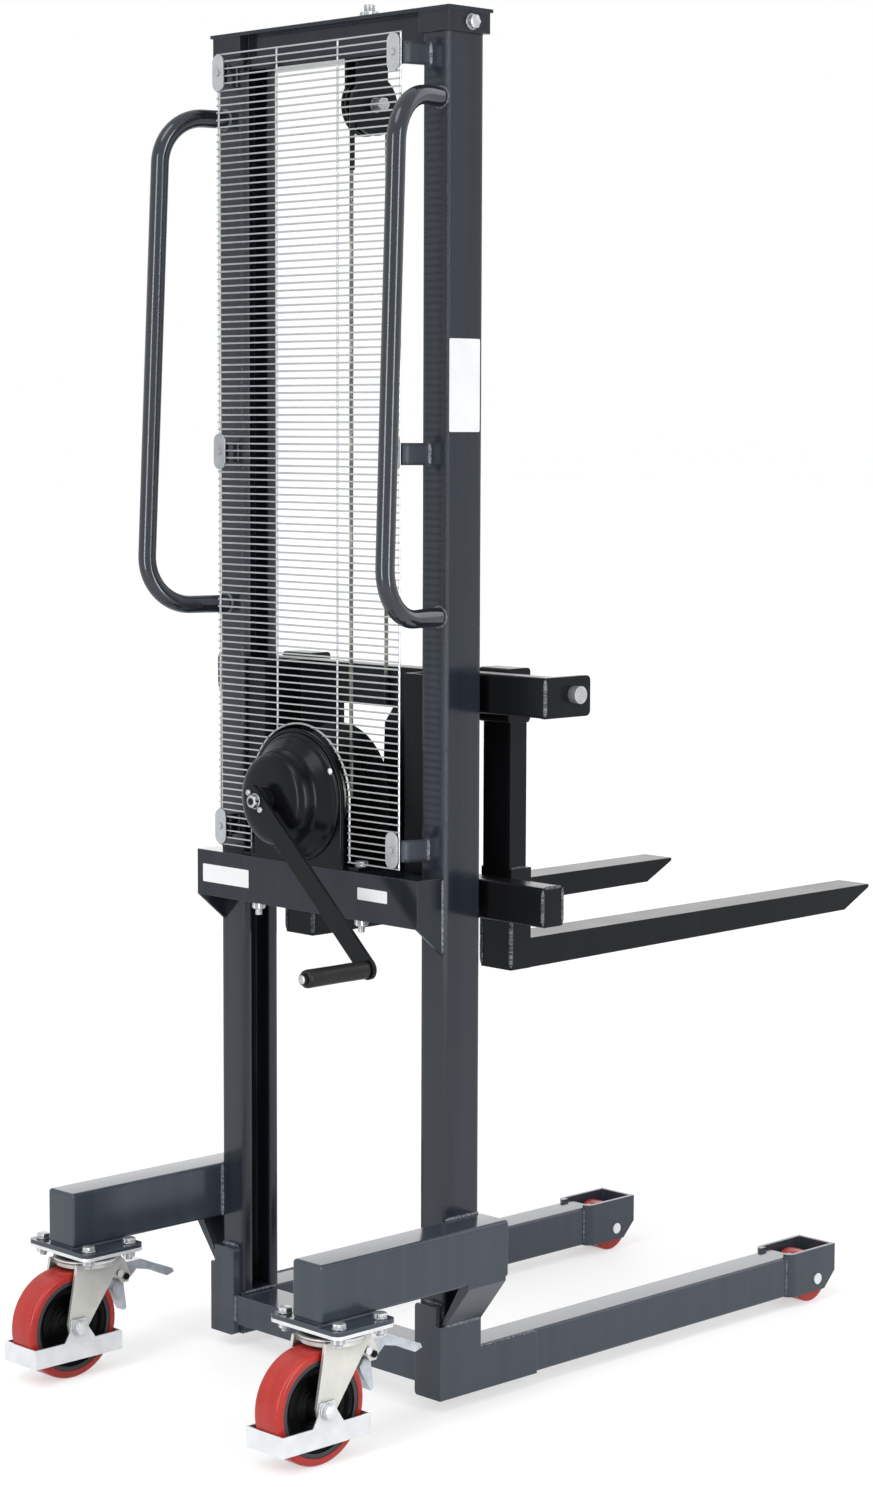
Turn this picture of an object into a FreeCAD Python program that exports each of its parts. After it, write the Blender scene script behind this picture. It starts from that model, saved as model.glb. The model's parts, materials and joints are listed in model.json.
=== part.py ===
import FreeCAD, Part
import math
import os

V = FreeCAD.Vector

# Hand pallet stacker with a winch. Millimetres, +Z up, forks point to +X,
# +Y is the left hand of the person at the crank. The rear face of the masts
# is the working datum X = 0; every shape is moved by -X_MID when written.

# general fits
RUN = 0.05            # radial running fit of a pin in its bore
SLIDE = 0.4           # gap between faces that pass each other
ROPE_GAP = 0.5        # rope to the groove or drum that turns past it

# masts: lipped channels, open towards each other
MAST_D = 70.0
MAST_W = 50.0
MAST_T = 5.0
MAST_LIP = 16.0
MAST_OUT = 244.0
MAST_TOP = 1984.0
MAST_R = 4.0          # outer corner of the rolled channel

# base: legs, cross beam, foot plates
LEG_W = 50.0
LEG_Z0 = 20.0
LEG_Z1 = 85.0
LEG_T = 4.0
TUBE_R = 5.0          # outer corner of the square tubes
LEG_END = 786.0
FOOT_T = 10.0
LEG_PROUD = 6.0       # leg past the mast's outer face
FOOT_REAR = -16.0
FOOT_W = 43.0
FOOT_TOP = 156.0
SIDE_TOP = 128.0
SIDE_FRONT = 66.0
SIDE_TOE = 184.0
SIDE_REAR = FOOT_REAR
BEAM_Z0 = 38.0
BEAM_REAR = -12.0
BEAM_FRONT = 58.0

# rear arms that carry the casters
ARM_W = 60.0
ARM_H = 83.0
ARM_T = 4.0
ARM_END_R = 4.0
ARM_REAR = -290.0
ARM_Z0 = 197.0
HEAD_T = 6.0
BRACE_T = 8.0
BRACE_REAR = -8.0

# casters
WHEEL_R = 80.0
WHEEL_W = 50.0
TREAD_T = 11.5
CORE_W = 48.0
RIM_BAND = 7.0
TRAIL = 43.0
SWIVEL_X = -243.0
PLATE_L = 112.0
PLATE_W = 142.0
PLATE_T = 5.0
PLATE_BOLT_X = 38.0
PLATE_BOLT_Y = 55.0
M10 = 5.0
RACE_H = 13.0
CROWN_T = 8.0
KING_R = 7.0
LEG_IN = 30.0
LEG_TH = 5.0
AXLE_R = 6.0
STRIP_T = 2.5
STRIP_REACH = 80.8
STRIP_Z0 = 31.0
STRIP_Z1 = 60.0
PEDAL_PIN_R = 4.0
PEDAL_X = 61.0
PEDAL_Z = 134.0
PEDAL_HALF = 13.0

# front load rollers
ROLLER_R = 40.0
ROLLER_X = 833.0
ROLLER_W = 52.0
ROLLER_PIN_R = 9.0
CHEEK_T = 6.0
CHEEK_OUT = 258.0
CHEEK_W = 75.0
CHEEK_TOP = 90.0
CHEEK_REAR = 764.0
CHEEK_FRONT = 879.0
CHEEK_BEND = 14.0

# top beam
CAP_T = 5.0
CAP_SIDE = 4.0
CAP_SKIRT = 29.0
CAP_BOLT_X = 38.0
CAP_BOLT_DROP = 15.0
TOP_BEAM_H = 49.0
TOP_BEAM_Z0 = MAST_TOP - TOP_BEAM_H
TOP_BEAM_X0 = 12.0
TOP_BEAM_X1 = 64.0

# push handles
HANDLE_R = 13.5
HANDLE_Y = 230.0
HANDLE_DROP = 119.0
HANDLE_SPAN = 720.0
HANDLE_Z1 = MAST_TOP - HANDLE_DROP
HANDLE_Z0 = HANDLE_Z1 - HANDLE_SPAN
HANDLE_TOP = 106.0
HANDLE_LOW = 137.0
HANDLE_BEND = 72.0
HANDLE_SPLAY = 12.0

# winch shelf
SHELF_REAR = -51.0
SHELF_Z0 = 706.0
SHELF_Z1 = 775.0
SHELF_INSET = 4.0
SHELF_HALF = MAST_OUT - SHELF_INSET
SHELF_T = 4.0
GUSSET_LOW = 663.0

# winch
WINCH_Y = 16.0
WINCH_RISE = 98.0
WINCH_Z = SHELF_Z1 + WINCH_RISE
WINCH_PLATE_T = 4.0
WINCH_REAR = -50.0
WINCH_FRONT = 40.0
REAR_ARCH = 100.0
FRONT_ARCH = 104.0
WINCH_BASE_T = 5.0
WINCH_BASE_HALF = 126.0
WINCH_BOLT_Y = 113.0
WINCH_BOLT_X = -25.0
DRUM_R = 51.0
DRUM_FLANGE_R = 68.0
DRUM_SHAFT_R = 10.0
DRUM_REAR = -40.0
DRUM_FRONT = 32.0
CRANK_SHAFT_R = 8.0
COVER_T = 3.0
COVER_R = 94.0
COVER_DEPTH = 56.0
COVER_HUB = 4.0
BOSS_R = 19.0
BOSS_LEN = 14.0
CRANK_LEN = 320.0
CRANK_DROP = 42.4     # degrees below level, towards the right
CRANK_W = 30.0
CRANK_T = 6.0
CRANK_TAIL = 12.0
STUD_OUT = 17.0
CRANK_X = WINCH_REAR - COVER_DEPTH - COVER_HUB - BOSS_LEN
GRIP_R = 13.0
GRIP_LEN = 115.0
GRIP_PIN_R = 6.0

# rope and head pulley
ROPE_R = 3.0
LAY = 6.5             # pitch of the turns on the drum
TURNS = 5
PULLEY_X = 43.5
PULLEY_DROP = 114.5
PULLEY_Z = MAST_TOP - PULLEY_DROP
PULLEY_R = 35.0
SHEAVE_R = 42.0
SHEAVE_W = 16.0
CHEEK_R = 43.0
PULLEY_PIN_R = 8.0
HANGER_R = 8.0
HANGER_STAND = 28.0
HANGER_BACK = 36.0
HANGER_FORE = 24.0
HANGER_TOP = MAST_TOP + HANGER_STAND
KEEPER_LOW = 94.0

# mesh guard
GUARD_X = -46.0
GUARD_T = 3.0
GUARD_HALF = 194.0
GUARD_RISE = 12.0
GUARD_DROP = 31.0
GUARD_Z0 = SHELF_Z1 + GUARD_RISE
GUARD_Z1 = MAST_TOP - GUARD_DROP
GUARD_ROWS = 56
GUARD_BAR = 65.0
GUARD_WIRE = 3.0
GUARD_ARCH = 107.0
CLIP_Y = 184.0
CLIP_SHIFT = 5.5       # left clips sit further out
CLIP_IN = 26.5
CLIP_MID = 4.0
CLIP_ZS = (GUARD_Z1 - CLIP_IN, (GUARD_Z0 + GUARD_Z1) / 2 + CLIP_MID, GUARD_Z0 + CLIP_IN)
CLIP_W = 24.0
CLIP_H = 53.0
CLIP_T = 2.5
STAY_H = 31.0
STAY_DROP = 1.0       # stay below the middle of its clip
STAY_BEND = 7.0
STAY_T = 4.0
STAY_X = -40.0

# carriage
CAR_Z0 = 712.0
CAR_Z1 = 1061.0
CAR_REAR = 8.0
CAR_IN = 152.0
CAR_OUT = 190.0
PANEL_X = 82.0
BAR_X = 89.0
UPPER_BAR_D = 32.0
UPPER_BAR_Z0 = 1003.0
UPPER_HALF = 353.0
END_T = 10.0
END_FRONT = 181.0
LOWER_BAR_FRONT = 132.5
LOWER_BAR_Z0 = 706.0
LOWER_BAR_Z1 = 763.0
LOWER_HALF = 349.0
ROD_R = 12.5
ROD_X = 147.0
ROD_Z = 1035.0
ROD_HALF = 367.0
GUIDE_ZS = (1030.0, 745.0)
GUIDE_X = MAST_D / 2
GUIDE_R = (MAST_D - 2 * MAST_T) / 2 - SLIDE
GUIDE_IN = 205.0
GUIDE_W = 30.0
GUIDE_PIN_R = 10.0
SOCKET_R = 8.0
SOCKET_Z0 = 1005.0
ROPE_END = 1045.0

# forks
FORK_OUT = 245.0
FORK_W = 61.0
FORK_REAR = 133.0
FORK_TIP = 968.0
FORK_TOP = 671.0
FORK_HEEL_Z0 = 627.0
FORK_TIP_H = 36.0
FORK_CUT = 62.0
HEEL_FRONT = 174.0
HEEL_TOP = 775.0
POST_FRONT = 166.0
POST_INSET = 3.0
EYE_REAR = 126.0
EYE_FRONT = 170.0
EYE_Z0 = 987.0
EYE_Z1 = 1066.0

# derived
MAST_IN = MAST_OUT - MAST_W
ARM_IN = MAST_OUT
ARM_Y = ARM_IN + ARM_W / 2
WHEEL_X = SWIVEL_X - TRAIL
LEG_OUT = MAST_OUT
ROPE_LIFT_R = DRUM_R + ROPE_R
ROPE_Y = WINCH_Y - ROPE_LIFT_R - ROPE_GAP
X_REAR = WHEEL_X - STRIP_REACH
X_MID = (X_REAR + FORK_TIP) / 2


def box(x0, x1, y0, y1, z0, z1):
    return Part.makeBox(x1 - x0, y1 - y0, z1 - z0, V(x0, y0, z0))


def bar(axis, r, a, b, p, q):
    """Round bar along one axis from a to b; p and q are the other two places."""
    if axis == "x":
        return Part.makeCylinder(r, b - a, V(a, p, q), V(1, 0, 0))
    if axis == "y":
        return Part.makeCylinder(r, b - a, V(p, a, q), V(0, 1, 0))
    return Part.makeCylinder(r, b - a, V(p, q, a), V(0, 0, 1))


def hexagon(axis, flats, a, b, p, q):
    r = flats / math.sqrt(3)
    pts = []
    for k in range(6):
        t = math.radians(60 * k)
        u = p + r * math.cos(t)
        w = q + r * math.sin(t)
        if axis == "x":
            pts.append(V(a, u, w))
        elif axis == "y":
            pts.append(V(u, a, w))
        else:
            pts.append(V(u, w, a))
    way = {"x": V(b - a, 0, 0), "y": V(0, b - a, 0), "z": V(0, 0, b - a)}[axis]
    return Part.Face(Part.makePolygon(pts + pts[:1])).extrude(way)


def sheet_xz(pts, y0, y1):
    """Flat shape drawn in X and Z, thick from y0 to y1."""
    vs = [V(x, y0, z) for x, z in pts]
    return Part.Face(Part.makePolygon(vs + vs[:1])).extrude(V(0, y1 - y0, 0))


def sheet_xy(pts, z0, z1):
    vs = [V(x, y, z0) for x, y in pts]
    return Part.Face(Part.makePolygon(vs + vs[:1])).extrude(V(0, 0, z1 - z0))


def sheet_yz(pts, x0, x1):
    vs = [V(x0, y, z) for y, z in pts]
    return Part.Face(Part.makePolygon(vs + vs[:1])).extrude(V(x1 - x0, 0, 0))


def fuse(shapes):
    one = shapes[0].multiFuse(shapes[1:]) if len(shapes) > 1 else shapes[0]
    return one.removeSplitter()


def rounded(shape, r, pick):
    """Round the straight edges that pick(edge) names."""
    edges = [e for e in shape.Edges if pick(e)]
    return shape.makeFillet(r, edges)


def along(edge, way):
    if edge.Curve.TypeId != "Part::GeomLine":
        return False
    d = edge.tangentAt(edge.FirstParameter)
    return abs(d.dot(way)) > 0.999


def tube_path(corners, bend, r):
    """Round rod through corner points with bends of one radius."""
    edges = []
    start = corners[0]
    for a, b, c in zip(corners, corners[1:], corners[2:]):
        u = (a - b).normalize()
        w = (c - b).normalize()
        half = math.acos(u.dot(w)) / 2
        cut = bend / math.tan(half)
        p = b + u * cut
        q = b + w * cut
        mid = (u + w).normalize()
        centre = b + mid * (bend / math.sin(half))
        top = centre - mid * bend
        edges.append(Part.LineSegment(start, p).toShape())
        edges.append(Part.Arc(p, top, q).toShape())
        start = q
    edges.append(Part.LineSegment(start, corners[-1]).toShape())
    wire = Part.Wire(edges)
    first = (corners[1] - corners[0]).normalize()
    ring = Part.Wire([Part.makeCircle(r, corners[0], first)])
    return wire.makePipeShell([ring], True, False)


def mirrored(shape):
    return shape.mirror(V(0, 0, 0), V(0, 1, 0))


def arch(x0, x1, r, z0):
    """Plate with straight sides and a round top about the winch axis."""
    y0 = WINCH_Y - r
    y1 = WINCH_Y + r
    edges = [Part.makeLine(V(x0, y0, z0), V(x0, y1, z0)),
             Part.makeLine(V(x0, y1, z0), V(x0, y1, WINCH_Z)),
             Part.Arc(V(x0, y1, WINCH_Z), V(x0, WINCH_Y, WINCH_Z + r), V(x0, y0, WINCH_Z)).toShape(),
             Part.makeLine(V(x0, y0, WINCH_Z), V(x0, y0, z0))]
    return Part.Face(Part.Wire(edges)).extrude(V(x1 - x0, 0, 0))


def lathe_x(profile, y, z):
    """Body of revolution about a line along X; profile is (x, radius)."""
    pts = [V(x, y, z + r) for x, r in profile]
    face = Part.Face(Part.makePolygon(pts + pts[:1]))
    return face.revolve(V(0, y, z), V(1, 0, 0), 360)


def lathe_y(profile, x, z):
    """Body of revolution about a line along Y; profile is (y, radius)."""
    pts = [V(x, y, z + r) for y, r in profile]
    face = Part.Face(Part.makePolygon(pts + pts[:1]))
    return face.revolve(V(x, 0, z), V(0, 1, 0), 360)


def hollow(x0, x1, y0, y1, z0, z1, t, axis):
    """Rectangular tube with open ends along one axis."""
    cut = {"x": (0, t, t), "y": (t, 0, t), "z": (t, t, 0)}[axis]
    inner = box(x0 + cut[0], x1 - cut[0], y0 + cut[1], y1 - cut[1], z0 + cut[2], z1 - cut[2])
    return box(x0, x1, y0, y1, z0, z1).cut(inner)


def closed_tube(x0, x1, y0, y1, z0, z1, t, axis):
    """Square tube with rounded corners along one axis and a wall at each end."""
    way = {"x": V(1, 0, 0), "y": V(0, 1, 0), "z": V(0, 0, 1)}[axis]
    outer = rounded(box(x0, x1, y0, y1, z0, z1), TUBE_R, lambda e: along(e, way))
    return outer.cut(box(x0 + t, x1 - t, y0 + t, y1 - t, z0 + t, z1 - t))


def make_mast():
    outer = box(0, MAST_D, MAST_IN, MAST_OUT, LEG_Z1, MAST_TOP)
    outer = rounded(outer, MAST_R, lambda e: along(e, V(0, 0, 1)))
    room = box(MAST_T, MAST_D - MAST_T, MAST_IN + MAST_T, MAST_OUT - MAST_T, LEG_Z1, MAST_TOP)
    slot = box(MAST_LIP, MAST_D - MAST_LIP, MAST_IN, MAST_IN + MAST_T, LEG_Z1, MAST_TOP)
    parts = [outer.cut(room).cut(slot)]
    root = MAST_IN + 9
    knee = GUARD_HALF + 1
    for z in CLIP_ZS:
        stay = [(STAY_X + STAY_T, CLIP_Y - 8), (STAY_X + STAY_T, knee), (0, root),
                (0, root + 7), (STAY_X, knee + 4), (STAY_X, CLIP_Y - 8)]
        low = z - STAY_DROP - STAY_H / 2
        strap = sheet_xy(stay, low, low + STAY_H)
        parts.append(rounded(strap, STAY_BEND, lambda e: along(e, V(0, 0, 1)) and e.BoundBox.XMax < STAY_X + 1
                             and e.BoundBox.YMin > knee))
    return fuse(parts)


def make_housing():
    """Open box for the front roller, with its rear corners bent round on to the leg."""
    out = CHEEK_OUT
    inn = CHEEK_OUT - CHEEK_W
    cut = 26.0
    rear = CHEEK_REAR + CHEEK_BEND
    side = [(rear, LEG_Z0), (CHEEK_FRONT - cut, LEG_Z0), (CHEEK_FRONT, LEG_Z0 + cut),
            (CHEEK_FRONT, CHEEK_TOP), (rear, CHEEK_TOP)]
    parts = [sheet_xz(side, out - CHEEK_T, out), sheet_xz(side, inn, inn + CHEEK_T)]
    parts.append(box(CHEEK_FRONT - CHEEK_T, CHEEK_FRONT, inn, out, LEG_Z0 + cut, CHEEK_TOP))
    for y, s in ((out, -1), (inn, 1)):
        mid = y + s * CHEEK_BEND
        corner = box(CHEEK_REAR, rear, min(y, mid), max(y, mid), LEG_Z0, CHEEK_TOP)
        core = bar("z", CHEEK_BEND, LEG_Z0, CHEEK_TOP, rear, mid)
        parts.append(corner.common(core))
    hole = bar("y", ROLLER_PIN_R + RUN, inn, out, ROLLER_X, ROLLER_R)
    return [p.cut(hole) for p in parts]


def make_leg():
    inn = LEG_OUT - LEG_W
    leg = closed_tube(0, LEG_END, inn, LEG_OUT + LEG_PROUD, LEG_Z0, LEG_Z1, LEG_T, "x")
    rear = box(FOOT_REAR, 0, LEG_OUT - FOOT_W, LEG_OUT, LEG_Z0, FOOT_TOP)
    rear = rounded(rear, 6, lambda e: along(e, V(1, 0, 0)) and e.BoundBox.YMin < LEG_OUT - 1)
    step = LEG_Z1 - 2
    side = [(SIDE_REAR, LEG_Z0), (SIDE_TOE, LEG_Z0), (SIDE_TOE, step), (SIDE_FRONT, step),
            (SIDE_FRONT, SIDE_TOP), (SIDE_REAR, SIDE_TOP)]
    plate = sheet_xz(side, LEG_OUT, LEG_OUT + FOOT_T)
    return fuse([leg, rear, plate] + make_housing())


def make_cross_beam():
    inn = LEG_OUT - LEG_W
    top = LEG_Z1 - 2
    beam = hollow(BEAM_REAR, BEAM_FRONT, -inn, inn, BEAM_Z0, top, LEG_T, "y")
    reach = LEG_OUT - FOOT_W
    lip = box(BEAM_REAR, BEAM_REAR + LEG_T, -reach, reach, BEAM_Z0, top)
    return fuse([beam, lip])


def plate_bolts():
    return [(SWIVEL_X + i * PLATE_BOLT_X, ARM_Y + j * PLATE_BOLT_Y) for i in (-1, 1) for j in (-1, 1)]


def make_arm():
    y0 = ARM_IN
    y1 = ARM_IN + ARM_W
    z1 = ARM_Z0 + ARM_H
    tube = box(ARM_REAR, MAST_D, y0, y1, ARM_Z0, z1)
    tube = rounded(tube, 6, lambda e: along(e, V(1, 0, 0)))
    tube = rounded(tube, ARM_END_R, lambda e: e.BoundBox.XMax < ARM_REAR + 0.1)
    room = box(ARM_REAR + ARM_T, MAST_D - ARM_T, y0 + ARM_T, y1 - ARM_T, ARM_Z0 + ARM_T, z1 - ARM_T)
    head = box(SWIVEL_X - PLATE_L / 2, SWIVEL_X + PLATE_L / 2, ARM_Y - PLATE_W / 2, ARM_Y + PLATE_W / 2,
               ARM_Z0 - HEAD_T, ARM_Z0 + 1)
    head = head.cut(box(ARM_REAR - PLATE_L, 0, y1, y1 + PLATE_W, ARM_Z0, z1))
    head = head.cut(box(ARM_REAR - PLATE_L, 0, y0 - PLATE_W, y0, ARM_Z0, z1))
    head = rounded(head, 12, lambda e: along(e, V(0, 0, 1)) and abs(e.BoundBox.YMin - ARM_Y) > ARM_W / 2 + 5)
    for x, y in plate_bolts():
        head = head.cut(bar("z", M10 + RUN, ARM_Z0 - HEAD_T, ARM_Z0 + 1, x, y))
    low = MAST_OUT + FOOT_T
    slope = [(y1, ARM_Z0 + 8), (y1 - BRACE_T - 4, ARM_Z0 + 8), (low - BRACE_T, SIDE_TOP), (low, SIDE_TOP),
             (y1, ARM_Z0 - 4)]
    brace = sheet_yz(slope, BRACE_REAR, SIDE_FRONT)
    return fuse([tube.cut(room), head, brace.cut(room)])


def make_top_beam():
    x0 = -CAP_T
    x1 = MAST_D + CAP_T
    half = MAST_OUT + CAP_T + 2
    top = MAST_TOP + CAP_T
    low = MAST_TOP - CAP_SKIRT
    parts = [box(x0 - 3, x1 + 3, -half - 3, half + 3, MAST_TOP, top)]
    for s in (1, -1):
        skirt = box(x0, x1, MAST_IN - CAP_SIDE, half, low, MAST_TOP)
        room = box(0, MAST_D, MAST_IN, MAST_OUT, low, MAST_TOP)
        skirt = skirt.cut(room)
        bolt = bar("y", M10 + RUN, MAST_OUT, half, CAP_BOLT_X, MAST_TOP - CAP_BOLT_DROP)
        skirt = skirt.cut(bolt)
        parts.append(skirt if s > 0 else mirrored(skirt))
    inn = MAST_IN - CAP_SIDE
    tube = hollow(TOP_BEAM_X0, TOP_BEAM_X1, -inn, inn, TOP_BEAM_Z0, MAST_TOP, CAP_SIDE, "y")
    parts.append(tube)
    whole = fuse(parts)
    return whole.cut(bar("z", HANGER_R + RUN, TOP_BEAM_Z0, top, PULLEY_X, ROPE_Y))


def make_cap_bolt():
    half = MAST_OUT + CAP_T + 2
    x = CAP_BOLT_X
    z = MAST_TOP - CAP_BOLT_DROP
    return fuse([bar("y", M10, MAST_OUT, half, x, z), bar("y", 11, half, half + 2, x, z),
                 hexagon("y", 17, half + 2, half + 9, x, z)])


def make_handle():
    a = math.radians(HANDLE_SPLAY)
    way = V(-math.cos(a), math.sin(a), 0)
    foot = V(0, HANDLE_Y, 0)

    def at(s, z):
        return foot + way * s + V(0, 0, z)
    path = [at(-3, HANDLE_Z1), at(HANDLE_TOP, HANDLE_Z1), at(HANDLE_LOW, HANDLE_Z0), at(-3, HANDLE_Z0)]
    rod = tube_path(path, HANDLE_BEND, HANDLE_R)
    return rod.cut(box(0, MAST_D, 0, 2 * HANDLE_Y, 0, MAST_TOP))


def make_shelf():
    tube = hollow(SHELF_REAR, 0, -SHELF_HALF, SHELF_HALF, SHELF_Z0, SHELF_Z1, SHELF_T, "y")
    parts = [tube]
    for s in (1, -1):
        end = [(SHELF_REAR, SHELF_Z0), (SHELF_REAR, SHELF_Z1), (0, SHELF_Z1), (0, GUSSET_LOW)]
        plate = sheet_xz(end, SHELF_HALF - SHELF_T, SHELF_HALF)
        parts.append(plate if s > 0 else mirrored(plate))
    whole = fuse(parts)
    for s in (1, -1):
        y = WINCH_Y + s * WINCH_BOLT_Y
        whole = whole.cut(bar("z", M10 + RUN, SHELF_Z0 - 1, SHELF_Z1 + 1, WINCH_BOLT_X, y))
    return whole


def make_guard():
    x0 = GUARD_X
    w = GUARD_WIRE
    bars = (-GUARD_HALF, -GUARD_BAR, GUARD_BAR, GUARD_HALF)
    step = (GUARD_Z1 - GUARD_Z0) / GUARD_ROWS

    def frame(y0, y1, z0, z1):
        pts = [V(x0, y0, z0), V(x0, y1, z0), V(x0, y1, z1), V(x0, y0, z1), V(x0, y0, z0)]
        return Part.makePolygon(pts)
    wires = [frame(-GUARD_HALF - w / 2, GUARD_HALF + w / 2, GUARD_Z0 - w / 2, GUARD_Z1 + w / 2)]
    for left, right in zip(bars, bars[1:]):
        for k in range(GUARD_ROWS):
            z = GUARD_Z0 + k * step
            wires.append(frame(left + w / 2, right - w / 2, z + w / 2, z + step - w / 2))
    sheet = Part.makeFace(wires, "Part::FaceMakerBullseye").extrude(V(GUARD_T, 0, 0))
    low = GUARD_Z0 - w / 2
    sheet = sheet.cut(arch(x0 - 1, x0 + GUARD_T + 1, GUARD_ARCH, low - 1))
    rim = arch(x0, x0 + GUARD_T, GUARD_ARCH + w / 2, low).cut(
        arch(x0, x0 + GUARD_T, GUARD_ARCH - w / 2, low - 1))
    return sheet.fuse(rim).removeSplitter()


def make_clip(y, z):
    x1 = GUARD_X - 0.1
    r = CLIP_W / 2
    rise = CLIP_H / 2 - r
    plate = box(x1 - CLIP_T, x1, y - r, y + r, z - rise, z + rise)
    ends = [bar("x", r, x1 - CLIP_T, x1, y, z + s * rise) for s in (1, -1)]
    rivet = bar("x", 2.5, x1, STAY_X, y, z)
    head = bar("x", 4, x1 - CLIP_T - 2, x1 - CLIP_T, y, z)
    return fuse([plate] + ends + [rivet, head])


def make_winch_frame():
    z0 = SHELF_Z1
    z1 = z0 + WINCH_BASE_T
    base = box(WINCH_REAR + 6, WINCH_FRONT, WINCH_Y - WINCH_BASE_HALF, WINCH_Y + WINCH_BASE_HALF, z0, z1)
    for s in (1, -1):
        y = WINCH_Y + s * WINCH_BOLT_Y
        base = base.cut(bar("z", M10 + RUN, z0, z1, WINCH_BOLT_X, y))
    rear = arch(WINCH_REAR, WINCH_REAR + WINCH_PLATE_T, REAR_ARCH, z0)
    link = box(WINCH_REAR, WINCH_REAR + 8, WINCH_Y - REAR_ARCH, WINCH_Y + REAR_ARCH, z0, z1)
    front = arch(WINCH_FRONT - WINCH_PLATE_T, WINCH_FRONT, FRONT_ARCH, z0)
    hole = bar("x", DRUM_SHAFT_R + RUN, WINCH_REAR, WINCH_FRONT, WINCH_Y, WINCH_Z)
    return fuse([base, link, rear, front]).cut(hole)


def make_winch_bolt(s):
    y = WINCH_Y + s * WINCH_BOLT_Y
    top = SHELF_Z1 + WINCH_BASE_T
    return fuse([bar("z", M10, SHELF_Z0 - 22, top, WINCH_BOLT_X, y),
                 hexagon("z", 17, top, top + 7, WINCH_BOLT_X, y),
                 hexagon("z", 17, SHELF_Z0 - 12, SHELF_Z0, WINCH_BOLT_X, y),
                 bar("z", 11, SHELF_Z0 - 2, SHELF_Z0, WINCH_BOLT_X, y)])


def cover_profile(step):
    """Pressed cover from the rim to the hub; step moves it inwards."""
    shape = ((0, 1), (0.055, 1), (0.09, 0.957), (0.21, 0.925), (0.34, 0.84), (0.45, 0.766), (0.68, 0.745),
             (0.84, 0.713), (0.945, 0.64), (0.99, 0.49), (1, 0.2))
    pts = [(WINCH_REAR - COVER_DEPTH * p, COVER_R * q - step) for p, q in shape]
    return pts[:1] + [(x + step, r) for x, r in pts[1:]]


def make_cover():
    outer = cover_profile(0)
    inner = cover_profile(COVER_T)
    hub = CRANK_SHAFT_R + RUN
    face = WINCH_REAR - COVER_DEPTH
    end = face - COVER_HUB
    ring = outer + [(end, 2 * hub - 1), (end, hub), (face + COVER_T, hub)] + inner[::-1]
    return lathe_x(ring, WINCH_Y, WINCH_Z)


def make_drum():
    r = DRUM_SHAFT_R
    a = DRUM_REAR
    b = DRUM_FRONT
    shape = [(WINCH_REAR - 6, 0), (WINCH_REAR - 6, r), (a - 4, r), (a - 4, DRUM_FLANGE_R), (a, DRUM_FLANGE_R),
             (a, DRUM_R - 0.1), (b - 4, DRUM_R - 0.1), (b - 4, DRUM_FLANGE_R), (b, DRUM_FLANGE_R), (b, r),
             (WINCH_FRONT + 5, r), (WINCH_FRONT + 5, 0)]
    return lathe_x(shape, WINCH_Y, WINCH_Z)


def turns_end():
    return PULLEY_X - PULLEY_R - LAY


def helix_at(turn):
    """Place and direction on the rope's line round the drum, in turns from its start."""
    t = 2 * math.pi * turn
    start = turns_end() - LAY * TURNS
    place = V(start + LAY * turn, WINCH_Y - ROPE_LIFT_R * math.cos(t), WINCH_Z + ROPE_LIFT_R * math.sin(t))
    way = V(LAY / (2 * math.pi), ROPE_LIFT_R * math.sin(t), ROPE_LIFT_R * math.cos(t))
    return place, way.normalize()


def arc_from(p, way, q):
    """Arc that leaves p along way and ends at q."""
    chord = q - p
    rise = way - chord * (way.dot(chord) / chord.dot(chord))
    half = chord.getAngle(way) / 2
    top = (p + q) * 0.5 + rise.normalize() * (chord.Length / 2 * math.tan(half))
    return Part.Arc(p, top, q).toShape()


def biarc(p, t, q, u):
    """Two arcs that meet smoothly between p along t and q along u."""
    v = q - p
    s = v.dot(t + u)
    k = 2 * (1 - t.dot(u))
    d = (-s + math.sqrt(s * s + k * v.dot(v))) / k
    mid = (p + t * d + q - u * d) * 0.5
    return [arc_from(p, t, mid), arc_from(q, u * -1, mid)]


def least_gap(points, skip):
    """Smallest room between loops of the rope, measured on points along it."""
    best = 1e9
    for i, p in enumerate(points):
        for q in points[i + skip:]:
            best = min(best, p.distanceToPoint(q))
    return best - 2 * ROPE_R


def eight_sided(place, way):
    """Section of the wound rope: few faces, because it repeats in every turn."""
    u = way.cross(V(1, 0, 0)).normalize()
    v = way.cross(u)
    corners = []
    for k in range(8):
        t = math.radians(45 * k)
        corners.append(place + u * (ROPE_R * math.cos(t)) + v * (ROPE_R * math.sin(t)))
    return Part.makePolygon(corners + corners[:1])


def make_turns():
    """Outer layer on the drum: one unbroken rope, its end beside the rising fall."""
    edges = []
    for k in range(2 * TURNS):
        edges += biarc(*helix_at(k / 2), *helix_at((k + 1) / 2))
    points = []
    for edge in edges:
        points += edge.discretize(12)
    print("rope turns: least gap to itself %.2f mm" % least_gap(points, 24))
    place, way = helix_at(0)
    return Part.Wire(Part.__sortEdges__(edges)).makePipeShell([eight_sided(place, way)], True, False)


def crank_end():
    a = math.radians(180 + CRANK_DROP)
    return WINCH_Y + CRANK_LEN * math.cos(a), WINCH_Z + CRANK_LEN * math.sin(a)


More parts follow.
